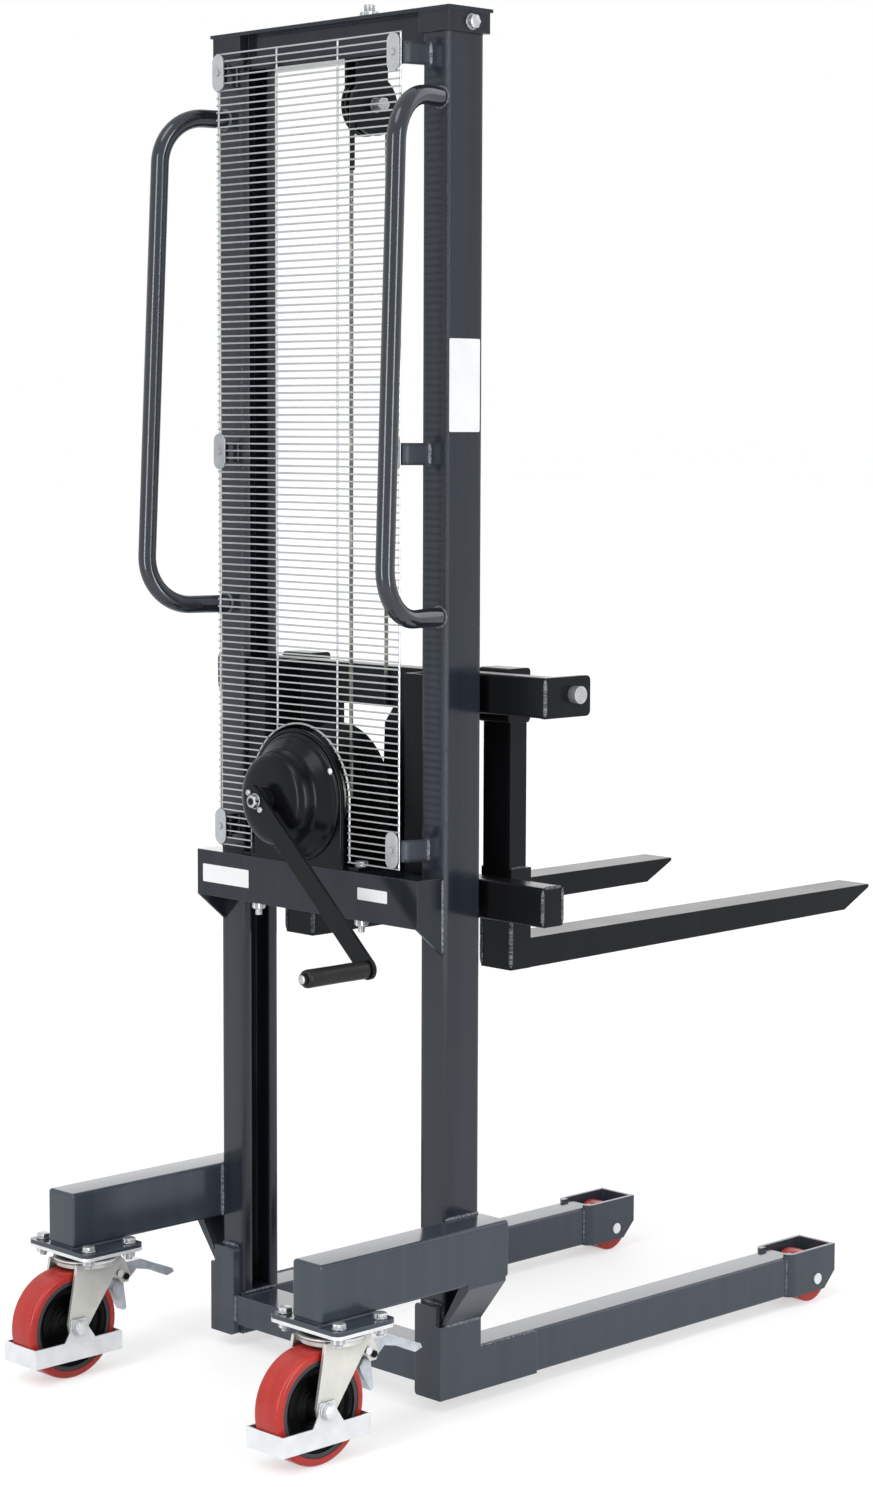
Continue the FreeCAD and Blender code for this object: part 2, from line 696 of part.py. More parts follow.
def make_crank():
    ey, ez = crank_end()
    x0 = CRANK_X - CRANK_T
    flat = box(x0, CRANK_X, -CRANK_TAIL, CRANK_LEN, -CRANK_W / 2, CRANK_W / 2)
    flat.rotate(V(0, 0, 0), V(1, 0, 0), 180 + CRANK_DROP)
    flat.translate(V(0, WINCH_Y, WINCH_Z))
    a = math.radians(CRANK_DROP)
    ty = WINCH_Y + CRANK_TAIL * math.cos(a)
    tz = WINCH_Z + CRANK_TAIL * math.sin(a)
    ends = [bar("x", CRANK_W / 2, x0, CRANK_X, ty, tz), bar("x", CRANK_W / 2, x0, CRANK_X, ey, ez)]
    hub_end = WINCH_REAR - COVER_DEPTH - COVER_HUB - SLIDE
    shaft = bar("x", CRANK_SHAFT_R, x0, WINCH_REAR - 12, WINCH_Y, WINCH_Z)
    boss = bar("x", BOSS_R, CRANK_X, hub_end, WINCH_Y, WINCH_Z)
    nut = hexagon("x", 17, x0 - 6, x0, WINCH_Y, WINCH_Z)
    studs = []
    for s in (1, -1):
        y = WINCH_Y + s * STUD_OUT * math.cos(a)
        z = WINCH_Z + s * STUD_OUT * math.sin(a)
        studs.append(bar("x", 4, x0 - 3, x0, y, z))
    pin = bar("x", GRIP_PIN_R, x0 - GRIP_LEN - 6, x0, ey, ez)
    head = bar("x", 8, x0 - GRIP_LEN - 5, x0 - GRIP_LEN - 1 - SLIDE, ey, ez)
    return fuse([flat] + ends + [shaft, boss, nut] + studs + [pin, head])


def make_grip():
    ey, ez = crank_end()
    b = CRANK_X - CRANK_T - SLIDE
    a = b - GRIP_LEN
    hole = GRIP_PIN_R + RUN
    r = GRIP_R
    shape = [(a, hole), (a, r - 3), (a + 3, r), (b - 3, r), (b, r - 3), (b, hole)]
    return lathe_x(shape, ey, ez)


def make_hanger():
    """Pulley cheeks, their bridge under the beam and the rope keeper."""
    top = TOP_BEAM_Z0
    parts = []
    for s in (1, -1):
        near = ROPE_Y + s * (SHEAVE_W / 2 + 1.5)
        far = near + s * 4
        a = min(near, far)
        b = max(near, far)
        parts.append(bar("y", CHEEK_R, a, b, PULLEY_X, PULLEY_Z))
        parts.append(box(PULLEY_X - HANGER_BACK, PULLEY_X + HANGER_FORE, a, b, PULLEY_Z + 20, top))
        keep = [(-47, -KEEPER_LOW), (-41, -KEEPER_LOW), (-41, -17), (-30, -11), (-47, 3)]
        keep = [(PULLEY_X + x, PULLEY_Z + z) for x, z in keep]
        if s < 0:
            parts.append(sheet_xz(keep, a, b))
    half = SHEAVE_W / 2 + 5.5
    parts.append(box(PULLEY_X - HANGER_BACK, PULLEY_X + HANGER_FORE,
                     ROPE_Y - half, ROPE_Y + half, top - 6, top))
    whole = fuse(parts)
    whole = whole.cut(bar("z", HANGER_R + RUN, top - 7, top + 1, PULLEY_X, ROPE_Y))
    return whole.cut(bar("y", PULLEY_PIN_R + RUN, ROPE_Y - 20, ROPE_Y + 20, PULLEY_X, PULLEY_Z))


def make_hanger_bolt():
    top = MAST_TOP + CAP_T
    low = TOP_BEAM_Z0 - 6
    return fuse([bar("z", HANGER_R, low - 4, HANGER_TOP, PULLEY_X, ROPE_Y),
                 hexagon("z", 16, low - 4, low, PULLEY_X, ROPE_Y),
                 hexagon("z", 24, top + 2, top + 13, PULLEY_X, ROPE_Y),
                 bar("z", 15, top, top + 2, PULLEY_X, ROPE_Y)])


def make_pulley_pin():
    half = SHEAVE_W / 2 + 5.5
    y = ROPE_Y
    return fuse([bar("y", PULLEY_PIN_R, y - half, y + half, PULLEY_X, PULLEY_Z),
                 hexagon("y", 18, y - half - 18, y - half, PULLEY_X, PULLEY_Z),
                 hexagon("y", 18, y + half, y + half + 8, PULLEY_X, PULLEY_Z)])


def make_sheave():
    w = SHEAVE_W / 2
    hole = PULLEY_PIN_R + RUN
    floor = PULLEY_R - ROPE_R - ROPE_GAP
    g = ROPE_R + ROPE_GAP
    shape = [(-w, hole), (-w, SHEAVE_R), (-g - 1.5, SHEAVE_R), (-g, floor), (g, floor), (g + 1.5, SHEAVE_R),
             (w, SHEAVE_R), (w, hole)]
    return lathe_y([(ROPE_Y + y, r) for y, r in shape], PULLEY_X, PULLEY_Z)


def make_rope_rear():
    x0 = PULLEY_X - PULLEY_R
    x1 = PULLEY_X + PULLEY_R
    edges = [Part.makeLine(V(x0, ROPE_Y, WINCH_Z), V(x0, ROPE_Y, PULLEY_Z)),
             Part.Arc(V(x0, ROPE_Y, PULLEY_Z), V(PULLEY_X, ROPE_Y, PULLEY_Z + PULLEY_R),
                      V(x1, ROPE_Y, PULLEY_Z)).toShape()]
    ring = Part.Wire([Part.makeCircle(ROPE_R, V(x0, ROPE_Y, WINCH_Z), V(0, 0, 1))])
    return Part.Wire(edges).makePipeShell([ring], True, False)


def make_rope_front():
    return bar("z", ROPE_R, ROPE_END, PULLEY_Z - 0.2, PULLEY_X + PULLEY_R, ROPE_Y)


def guide_pin(z):
    back = GUIDE_IN + GUIDE_W
    return [bar("y", GUIDE_PIN_R, CAR_OUT, back + 3, GUIDE_X, z),
            bar("y", 15, CAR_OUT, GUIDE_IN - SLIDE, GUIDE_X, z),
            bar("y", 14, back + SLIDE, back + 3, GUIDE_X, z)]


def make_carriage_frame():
    tube = hollow(CAR_REAR, PANEL_X, CAR_IN, CAR_OUT, CAR_Z0, CAR_Z1, SHELF_T, "z")
    group = [tube]
    for z in GUIDE_ZS:
        group += guide_pin(z)
    parts = group + [mirrored(g) for g in group]
    panel = box(PANEL_X, BAR_X, -CAR_OUT, CAR_OUT, CAR_Z0, CAR_Z1)
    top = UPPER_BAR_Z0 - 2
    window = [(64, top), (-50, top), (-32, top - 23), (-29, 905), (64, 905)]
    parts.append(panel.cut(sheet_yz(window, PANEL_X, BAR_X)))
    parts.append(bar("z", SOCKET_R, SOCKET_Z0, ROPE_END, PULLEY_X + PULLEY_R, ROPE_Y))
    return fuse(parts)


def make_upper_bar():
    inner = UPPER_HALF - END_T
    end = box(BAR_X, END_FRONT, inner, UPPER_HALF, UPPER_BAR_Z0, CAR_Z1)
    end = rounded(end, 8, lambda e: along(e, V(0, 1, 0)) and e.BoundBox.XMin > END_FRONT - 1)
    end = end.cut(bar("y", ROD_R + RUN, inner, UPPER_HALF, ROD_X, ROD_Z))
    tube = closed_tube(BAR_X, BAR_X + UPPER_BAR_D, -inner, inner, UPPER_BAR_Z0, CAR_Z1, SHELF_T, "y")
    return fuse([tube, end, mirrored(end)])


def make_lower_bar():
    return closed_tube(BAR_X, LOWER_BAR_FRONT, -LOWER_HALF, LOWER_HALF,
                       LOWER_BAR_Z0, LOWER_BAR_Z1, SHELF_T, "y")


def make_rod():
    return bar("y", ROD_R, -ROD_HALF, ROD_HALF, ROD_X, ROD_Z)


def make_guide(z):
    hole = GUIDE_PIN_R + RUN
    a = GUIDE_IN
    b = GUIDE_IN + GUIDE_W
    r = GUIDE_R
    return lathe_y([(a, hole), (a, r - 2), (a + 2, r), (b - 2, r), (b, r - 2), (b, hole)], GUIDE_X, z)


def make_fork():
    y0 = FORK_OUT - FORK_W
    y1 = FORK_OUT
    blade = [(FORK_REAR, FORK_HEEL_Z0), (FORK_TIP - FORK_CUT, FORK_TOP - FORK_TIP_H),
             (FORK_TIP, FORK_TOP - 5),
             (FORK_TIP, FORK_TOP), (FORK_REAR, FORK_TOP)]
    parts = [sheet_xz(blade, y0, y1)]
    parts.append(box(FORK_REAR, HEEL_FRONT, y0, y1, FORK_HEEL_Z0, HEEL_TOP))
    parts.append(box(FORK_REAR, POST_FRONT, y0 + POST_INSET, y1 - POST_INSET, FORK_TOP, EYE_Z0 + 5))
    eye = box(EYE_REAR, EYE_FRONT, y0, y1, EYE_Z0, EYE_Z1)
    eye = rounded(eye, 6, lambda e: along(e, V(0, 1, 0)))
    parts.append(eye)
    return fuse(parts).cut(bar("y", ROD_R + RUN, y0, y1, ROD_X, ROD_Z))


def caster_levels():
    plate = ARM_Z0 - HEAD_T
    race = plate - PLATE_T
    crown = race - RACE_H - SLIDE
    return plate, race, crown


def make_caster_plate():
    plate, race, crown = caster_levels()
    half = PLATE_W / 2
    top = box(SWIVEL_X - PLATE_L / 2, SWIVEL_X + PLATE_L / 2, ARM_Y - half, ARM_Y + half, race, plate)
    top = rounded(top, 12, lambda e: along(e, V(0, 0, 1)))
    parts = [top, bar("z", 42, crown + SLIDE, race, SWIVEL_X, ARM_Y)]
    parts.append(bar("z", KING_R, crown - 12, race, SWIVEL_X, ARM_Y))
    for x, y in plate_bolts():
        parts.append(bar("z", M10, race - 14, ARM_Z0, x, y))
        parts.append(hexagon("z", 17, ARM_Z0, ARM_Z0 + 7, x, y))
        parts.append(hexagon("z", 17, race - 9, race, x, y))
    return fuse(parts)


def make_caster_fork():
    plate, race, crown = caster_levels()
    low = crown - CROWN_T
    x = SWIVEL_X
    w = WHEEL_X
    parts = [bar("z", 46, low, crown, x, ARM_Y)]
    parts.append(box(x - 40, x + 40, ARM_Y - LEG_IN - LEG_TH, ARM_Y + LEG_IN + LEG_TH, low, crown))
    leg = [(x - 44, crown), (x + 40, crown), (x + 36, 2 * WHEEL_R),
           (w + 19, WHEEL_R - 2), (w + 10, WHEEL_R - 18),
           (w - 12, WHEEL_R - 18), (w - 17, WHEEL_R + 6)]
    ear = [(x + 30, crown), (x + 58, crown - 10), (x + 70, PEDAL_Z + 2), (x + 66, PEDAL_Z - 9),
           (x + 54, PEDAL_Z - 9), (x + 30, low - 6)]
    for s in (1, -1):
        for pts, a, t in ((leg, LEG_IN, LEG_TH), (ear, PEDAL_HALF + 1, 4)):
            y = ARM_Y + s * a
            z = y + s * t
            parts.append(sheet_xz(pts, min(y, z), max(y, z)))
    whole = fuse(parts)
    whole = whole.cut(bar("z", KING_R + RUN, low, crown, x, ARM_Y))
    whole = whole.cut(bar("y", AXLE_R + RUN, ARM_Y - 50, ARM_Y + 50, w, WHEEL_R))
    return whole.cut(bar("y", PEDAL_PIN_R + RUN, ARM_Y - 25, ARM_Y + 25, x + PEDAL_X, PEDAL_Z))


def make_foot_guard():
    """Strip round the wheel, with the axle bolt that holds it to the fork."""
    inn = LEG_IN + LEG_TH
    out = inn + STRIP_T
    w = WHEEL_X
    r = STRIP_REACH
    loop = box(w - r, w + r, ARM_Y - out, ARM_Y + out, STRIP_Z0, STRIP_Z1)
    loop = loop.cut(box(w - r + STRIP_T, w + r - STRIP_T, ARM_Y - inn, ARM_Y + inn, STRIP_Z0, STRIP_Z1))
    flare = [(w - 26, STRIP_Z1 - 1), (w + 31, STRIP_Z1 - 1), (w + 18, WHEEL_R - 2), (w + 13, WHEEL_R + 13),
             (w - 13, WHEEL_R + 13), (w - 17, WHEEL_R - 6)]
    parts = [loop, sheet_xz(flare, ARM_Y + inn, ARM_Y + out), sheet_xz(flare, ARM_Y - out, ARM_Y - inn)]
    parts.append(bar("y", AXLE_R, ARM_Y - out - 8, ARM_Y + out + 8, w, WHEEL_R))
    parts.append(bar("y", 11, ARM_Y + out, ARM_Y + out + 6, w, WHEEL_R))
    parts.append(bar("y", 11, ARM_Y - out - 6, ARM_Y - out, w, WHEEL_R))
    return fuse(parts)


def make_core():
    hub = LEG_IN - 0.5
    rim = CORE_W / 2
    r = WHEEL_R - TREAD_T
    hole = AXLE_R + RUN
    inner = r - RIM_BAND
    shape = [(-hub, hole), (-hub, 15), (-12, 19), (-9, 46), (-rim, inner), (-rim, r),
             (rim, r), (rim, inner), (9, 46),
             (12, 19), (hub, 15), (hub, hole)]
    return lathe_y([(ARM_Y + y, q) for y, q in shape], WHEEL_X, WHEEL_R)


def make_tread():
    h = WHEEL_W / 2
    r = WHEEL_R - TREAD_T
    shape = [(-h, r + RUN), (-h, WHEEL_R - 5), (-h + 2, WHEEL_R - 1.5), (-h + 6, WHEEL_R), (h - 6, WHEEL_R),
             (h - 2, WHEEL_R - 1.5), (h, WHEEL_R - 5), (h, r + RUN)]
    return lathe_y([(ARM_Y + y, q) for y, q in shape], WHEEL_X, WHEEL_R)


def make_pedal():
    x = SWIVEL_X + PEDAL_X
    z = PEDAL_Z
    a = ARM_Y - PEDAL_HALF
    b = ARM_Y + PEDAL_HALF
    lever = [(-8, -8), (6, -10), (25, 6), (50, 0), (84, -16), (98, -12),
             (95, -6), (56, 10), (34, 20), (4, 20), (-8, 10)]
    catch = [(-18, -18), (-6, -2), (2, -8), (8, -52), (3, -55), (-15, -26)]
    parts = [bar("y", 10, a, b, x, z), bar("y", PEDAL_PIN_R, a - 6, b + 6, x, z)]
    parts.append(sheet_xz([(x + p, z + q) for p, q in lever], a, b))
    parts.append(sheet_xz([(x + p, z + q) for p, q in catch], ARM_Y - 9, ARM_Y + 9))
    return fuse(parts)


def make_roller():
    y = CHEEK_OUT - CHEEK_W / 2
    h = ROLLER_W / 2
    hole = ROLLER_PIN_R + RUN
    r = ROLLER_R
    shape = [(-h, hole), (-h, r - 3), (-h + 3, r), (h - 3, r), (h, r - 3), (h, hole)]
    return lathe_y([(y + p, q) for p, q in shape], ROLLER_X, ROLLER_R)


def make_roller_pin():
    return bar("y", ROLLER_PIN_R, CHEEK_OUT - CHEEK_W - 3, CHEEK_OUT + 3, ROLLER_X, ROLLER_R)


def write(name, shape):
    moved = shape.copy()
    moved.translate(V(-X_MID, 0, 0))
    moved.exportStep("parts/" + name + ".step")


def write_pair(stem, shape):
    write(stem + "_left", shape)
    write(stem + "_right", mirrored(shape))


def main():
    os.makedirs("parts", exist_ok=True)
    write_pair("leg", make_leg())
    write("cross_beam", make_cross_beam())
    write_pair("mast", make_mast())
    write_pair("arm", make_arm())
    write("top_beam", make_top_beam())
    write_pair("cap_bolt", make_cap_bolt())
    write_pair("handle", make_handle())
    write("shelf", make_shelf())
    write("guard_mesh", make_guard())
    for place, z in zip(("top", "mid", "low"), CLIP_ZS):
        write("clip_" + place + "_left", make_clip(CLIP_Y + CLIP_SHIFT, z))
        write("clip_" + place + "_right", make_clip(-CLIP_Y, z))
    write("winch_frame", make_winch_frame())
    write("winch_bolt_left", make_winch_bolt(1))
    write("winch_bolt_right", make_winch_bolt(-1))
    write("winch_cover", make_cover())
    write("drum", make_drum())
    write("rope_turns", make_turns())
    write("crank", make_crank())
    write("crank_grip", make_grip())
    write("pulley_hanger", make_hanger())
    write("hanger_bolt", make_hanger_bolt())
    write("pulley_pin", make_pulley_pin())
    write("sheave", make_sheave())
    write("rope_rear", make_rope_rear())
    write("rope_front", make_rope_front())
    write("carriage_frame", make_carriage_frame())
    write("upper_bar", make_upper_bar())
    write("lower_bar", make_lower_bar())
    write("fork_rod", make_rod())
    for place, z in zip(("top", "low"), GUIDE_ZS):
        write_pair("guide_" + place, make_guide(z))
    write_pair("fork", make_fork())
    write_pair("caster_plate", make_caster_plate())
    write_pair("caster_fork", make_caster_fork())
    write_pair("foot_guard", make_foot_guard())
    write_pair("wheel_core", make_core())
    write_pair("wheel_tread", make_tread())
    write_pair("pedal", make_pedal())
    write_pair("front_roller", make_roller())
    write_pair("roller_pin", make_roller_pin())


main()
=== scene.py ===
import json
import math
import random

import bmesh
import bpy
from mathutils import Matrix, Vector


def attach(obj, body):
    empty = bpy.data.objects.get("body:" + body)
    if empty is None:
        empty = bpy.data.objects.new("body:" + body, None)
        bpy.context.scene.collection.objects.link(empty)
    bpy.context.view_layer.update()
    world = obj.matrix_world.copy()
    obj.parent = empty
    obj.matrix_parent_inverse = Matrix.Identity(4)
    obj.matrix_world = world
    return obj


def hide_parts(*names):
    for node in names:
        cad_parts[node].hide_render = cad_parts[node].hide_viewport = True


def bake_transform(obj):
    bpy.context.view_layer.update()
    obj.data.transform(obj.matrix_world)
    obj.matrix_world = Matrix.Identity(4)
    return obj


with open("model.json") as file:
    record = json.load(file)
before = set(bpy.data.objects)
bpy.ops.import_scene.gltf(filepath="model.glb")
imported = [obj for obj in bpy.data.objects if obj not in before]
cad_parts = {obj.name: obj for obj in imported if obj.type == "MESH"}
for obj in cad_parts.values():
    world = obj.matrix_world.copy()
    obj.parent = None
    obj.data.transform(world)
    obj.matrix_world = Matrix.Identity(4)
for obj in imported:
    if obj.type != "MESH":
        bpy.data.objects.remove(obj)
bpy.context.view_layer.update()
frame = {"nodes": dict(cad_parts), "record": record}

# The looks of a hand pallet stacker round its CAD frame. Places are in
# millimetres from the masts' rear face, as in the part's source.

NODES = frame["nodes"]
X_MID = 300.6
SIDES = (("left", 1), ("right", -1))
RNG = random.Random(7)
BACK = Vector((-1, 0, 0))
ACROSS = Vector((0, 1, 0))
UP = Vector((0, 0, 1))


def at(x, y, z):
    """A place in millimetres as a point of the row frame in metres."""
    return Vector(((x - X_MID) / 1000, y / 1000, z / 1000))


# materials; colours are written in screen values 0 to 255

BEVEL_SAMPLES = 4
EDGE_GAIN = 6.0
COAT_CLOUD = 9
COAT_ROLL = 40
COAT_ROLL_STRETCH = (1, 1, 0.02)
COAT_ROLL_SHARE = 0.12
COAT_SPECK = 130
COAT_SPECK_SHARE = 0.75
COAT_SKIN = 620
COAT_TINT = (0.84, 0.91, 1.0, 1.0)
ZINC_EDGE = 0.0009
# reach and darkening of the painted shade in the zinc's corners
ZINC_SHADE_REACH = 0.02
ZINC_SHADE = 0.55
STREAK_STRETCH = (0.25, 1.6, 0.25)
SCUFF_SHARE = 0.26


def linear(r, g, b):
    """Shader colour of a screen colour."""
    def one(c):
        c = c / 255
        return c / 12.92 if c <= 0.04045 else ((c + 0.055) / 1.055) ** 2.4
    return (one(r), one(g), one(b), 1.0)


def scaled(colour, factor):
    return linear(*[min(255, c * factor) for c in colour])


def lifted(colour, step):
    return linear(*[min(255, c + step) for c in colour])


class Nodes:
    """Short way to lay out the node tree of a material or a world."""

    def __init__(self, owner):
        owner.use_nodes = True
        self.owner = owner
        self.tree = owner.node_tree
        self.tree.nodes.clear()

    def plug(self, value, socket):
        """Links an output, or writes a constant on the socket itself."""
        if isinstance(value, bpy.types.NodeSocket):
            self.tree.links.new(value, socket)
        else:
            socket.default_value = value

    def add(self, kind, **inputs):
        node = self.tree.nodes.new("ShaderNode" + kind)
        for key, value in inputs.items():
            self.plug(value, node.inputs[key.replace("_", " ")])
        return node

    def math(self, operation, a, b):
        node = self.add("Math")
        node.operation = operation
        self.plug(a, node.inputs[0])
        self.plug(b, node.inputs[1])
        return node.outputs[0]

    def around(self, factor, middle, spread):
        """A value that varies round its middle with a factor from 0 to 1."""
        return self.math("ADD", self.math("MULTIPLY", factor, spread), middle - spread / 2)

    def mix(self, factor, a, b):
        node = self.add("Mix")
        node.data_type = "RGBA"
        for k, value in ((0, factor), (6, a), (7, b)):
            self.plug(value, node.inputs[k])
        return node.outputs[2]

    def noise(self, scale, detail, stretch=(1, 1, 1)):
        place = self.add("TexCoord").outputs["Object"]
        spot = self.add("Mapping", Vector=place, Scale=stretch)
        return self.add("TexNoise", Vector=spot.outputs[0], Scale=scale, Detail=detail).outputs[0]

    def edges(self, radius):
        """1 on sharp outer edges and 0 on flats, and a normal that rounds them."""
        soft = self.add("Bevel", Radius=radius)
        soft.samples = BEVEL_SAMPLES
        dot = self.add("VectorMath")
        dot.operation = "DOT_PRODUCT"
        self.plug(soft.outputs[0], dot.inputs[0])
        self.plug(self.add("NewGeometry").outputs["Normal"], dot.inputs[1])
        away = self.math("SUBTRACT", 1.0, dot.outputs["Value"])
        edge = self.math("MINIMUM", self.math("MULTIPLY", away, EDGE_GAIN), 1.0)
        return edge, soft.outputs[0]

    def bump(self, height, strength, distance, normal=None):
        node = self.add("Bump", Height=height, Strength=strength, Distance=distance)
        if normal is not None:
            self.plug(normal, node.inputs["Normal"])
        return node.outputs[0]

    def finish(self, **inputs):
        shader = self.add("BsdfPrincipled", **inputs)
        self.add("OutputMaterial", Surface=shader.outputs[0])
        return self.owner


def material_nodes(name):
    return Nodes(bpy.data.materials.new(name))


def powder_coat(name, base, marks_and_highlight, gloss, peel, radius, shine, corner=None):
    """Baked paint: orange peel, cloudy tone, rolling marks, and thin bright edges of wear and painted highlight.
    """
    n = material_nodes(name)
    cloud = n.noise(COAT_CLOUD, 4)
    tone = n.mix(cloud, scaled(base, 0.93), scaled(base, 1.07))
    rolled = n.noise(COAT_ROLL, 3, COAT_ROLL_STRETCH)
    tone = n.mix(n.math("MULTIPLY", rolled, COAT_ROLL_SHARE), tone, linear(*marks_and_highlight))
    edge, soft = n.edges(radius)
    speck = n.math("MULTIPLY", n.noise(COAT_SPECK, 2), COAT_SPECK_SHARE)
    # edges lighten in specks towards the mark colour: wear, and a painted highlight on the edges
    tone = n.mix(n.math("MULTIPLY", edge, speck), tone, linear(*marks_and_highlight))
    if corner:
        soft = n.edges(corner)[1]
    return n.finish(Base_Color=tone, Roughness=n.around(cloud, gloss, 0.1),
                    Normal=n.bump(n.noise(COAT_SKIN, 2), peel, 0.0004, soft),
                    Specular_IOR_Level=shine, Specular_Tint=COAT_TINT)


def zinc_plate(name, base, dark, rough, scale):
    """Bright plated metal: cloudy tone, fine draw lines, painted highlight on edges and painted shade in the
    corners.
    """
    n = material_nodes(name)
    tone = n.mix(n.noise(scale, 5), linear(*dark), linear(*base))
    fine = n.noise(scale * 9, 2)
    edge, soft = n.edges(ZINC_EDGE)
    # painted highlight: edges lighter than the plate
    tone = n.mix(edge, tone, lifted(base, 14))
    # painted shade: darker where ambient occlusion finds corners and crevices
    open_air = n.add("AmbientOcclusion", Distance=ZINC_SHADE_REACH).outputs["AO"]
    tone = n.mix(open_air, scaled(dark, ZINC_SHADE), tone)
    return n.finish(Base_Color=tone, Metallic=0.7, Roughness=n.around(fine, rough, 0.14),
                    Normal=n.bump(fine, 0.12, 0.0003, soft))


def urethane(name):
    """Cast red tread: slight streaks round the wheel and dull scuffs."""
    n = material_nodes(name)
    streak = n.noise(60, 4, STREAK_STRETCH)
    scuff = n.noise(24, 5)
    tone = n.mix(streak, linear(142, 14, 14), linear(192, 40, 34))
    tone = n.mix(n.math("MULTIPLY", scuff, SCUFF_SHARE), tone, linear(206, 100, 88))
    return n.finish(Base_Color=tone, Roughness=n.around(scuff, 0.28, 0.2), Normal=n.bump(streak, 0.1, 0.0006),
                    Specular_IOR_Level=0.35)


def moulded(name, base, gloss, shine):
    """Moulding: fine grain and faint dust."""
    n = material_nodes(name)
    grain = n.noise(900, 2)
    dust = n.noise(30, 4)
    tone = n.mix(dust, linear(*base), lifted(base, 12))
    return n.finish(Base_Color=tone, Roughness=n.around(dust, gloss, 0.18), Normal=n.bump(grain, 0.2, 0.0003),
                    Specular_IOR_Level=shine)


def wire_rope(name):
    """Greased steel strand."""
    n = material_nodes(name)
    grease = n.noise(150, 4)
    tone = n.mix(grease, linear(74, 74, 69), linear(162, 161, 153))
    return n.finish(Base_Color=tone, Metallic=0.75, Roughness=n.around(grease, 0.375, 0.25),
                    Normal=n.bump(grease, 0.2, 0.0003))


def film(name):
    """Blank film sticker with a faint crease."""
    n = material_nodes(name)
    fold = n.noise(26, 3)
    tone = n.mix(fold, linear(226, 228, 230), linear(244, 245, 246))
    return n.finish(Base_Color=tone, Roughness=n.around(fold, 0.4, 0.2), Normal=n.bump(fold, 0.15, 0.0005))


def weld_bead(name, dark, light):
    """Bead painted over with the frame: spots of painted highlight on its ripples."""
    n = material_nodes(name)
    spots = n.noise(210, 3)
    # painted highlight: squared spots lighten the bead towards the light colour
    tone = n.mix(n.math("MULTIPLY", spots, spots), linear(*dark), linear(*light))
    return n.finish(Base_Color=tone, Roughness=n.around(spots, 0.26, 0.2), Normal=n.bump(spots, 0.5, 0.0008))


# coats: base, colour of marks and of painted edge highlight, roughness, orange peel, edge radius in metres,
# specular level, rounded corner in metres
ANTHRACITE = powder_coat("anthracite_coat", (24, 28, 33), (104, 112, 124), 0.13, 0.08, 0.0016, 0.3)
MAST_COAT = powder_coat("anthracite_mast", (20, 25, 30), (114, 123, 140), 0.15, 0.03, 0.0016, 0.44, 0.008)
# darker copy of the anthracite coat for the handles: painted shade
SHADED_HANDLE_COAT = powder_coat("anthracite_handle", (10, 12, 15), (116, 126, 144), 0.1, 0.02, 0.0016, 0.66)
# lighter, bluer copy of the anthracite coat for legs, arms and cross beam: painted light of the floor's bounce
LIT_BASE_COAT = powder_coat("anthracite_base", (47, 53, 61), (124, 133, 147), 0.15, 0.1, 0.0018, 0.48)
BLACK = powder_coat("black_coat", (11, 11, 13), (70, 72, 77), 0.3, 0.1, 0.0012, 0.16)
COVER_COAT = powder_coat("black_cover", (8, 8, 10), (64, 66, 71), 0.22, 0.06, 0.0012, 0.17)
# weld beads: dark tone and painted-highlight tone
GREY_WELD = weld_bead("grey_weld", (48, 54, 62), (150, 158, 170))
BLACK_WELD = weld_bead("black_weld", (16, 17, 20), (104, 108, 118))
# plated metal: light, dark, roughness, noise scale
ZINC = zinc_plate("zinc_plate", (245, 247, 248), (200, 204, 208), 0.36, 34)
FORK_ZINC = zinc_plate("plated_fork", (234, 233, 226), (184, 185, 180), 0.36, 26)
PEDAL = zinc_plate("plated_pedal", (222, 228, 234), (150, 157, 166), 0.34, 70)
CLIP = zinc_plate("plated_clip", (200, 204, 206), (164, 168, 171), 0.36, 60)
BOLT = zinc_plate("plated_bolt", (206, 209, 211), (146, 150, 154), 0.36, 120)
WIRE = zinc_plate("zinc_wire", (202, 206, 208), (164, 168, 170), 0.32, 60)
STEEL = zinc_plate("bright_steel", (206, 208, 208), (160, 162, 162), 0.28, 80)
DARK_STEEL = zinc_plate("greased_steel", (62, 62, 63), (30, 30, 31), 0.36, 80)
ROPE = wire_rope("wire_rope")
RED = urethane("red_urethane")
CORE = moulded("black_core", (7, 7, 8), 0.3, 0.1)
RIM = moulded("grey_rim", (58, 58, 62), 0.46, 0.25)
GRIP = moulded("black_grip", (18, 18, 19), 0.36, 0.25)
STICKER = film("blank_sticker")
SLOTS = {"anthracite": ANTHRACITE, "black": BLACK, "zinc": ZINC, "mesh": WIRE, "rope": ROPE, "steel": STEEL,
         "grip": GRIP, "core": CORE, "red": RED}
# finishes of single nodes, or of all nodes whose name begins with the word
LOOKS = {"mast": MAST_COAT, "handle": SHADED_HANDLE_COAT, "leg": LIT_BASE_COAT, "arm": LIT_BASE_COAT, "cross": LIT_BASE_COAT,
         "clip": CLIP, "sheave": DARK_STEEL, "pedal": PEDAL, "winch_frame": COVER_COAT, "winch_cover": COVER_COAT,
         "fork_rod": BOLT, "hanger_bolt": BOLT, "caster_fork_left": FORK_ZINC, "caster_fork_right": FORK_ZINC}


# mesh tools

JOIN_GAP = 0.00002
SMOOTH_ANGLE = math.radians(31)
HEX_STEPS = 24
HEX_SHOULDER = 0.82
HEX_CHAMFER = 0.93
HEX_CHAMFER_R = 0.53
HEX_TOP_R = 0.475
WASHER_EDGE = 0.3
WASHER_STEPS = 28
RIPPLE = 2.6
BEAD_LOW = 0.78
BEAD_STRAY = 0.06
BEAD_END = 0.55
RING_STEP = 0.9
RING_LOW = 0.8
RING_RIPPLE = 1.05
RING_STRAY = 0.05
RING_SIDES = 7


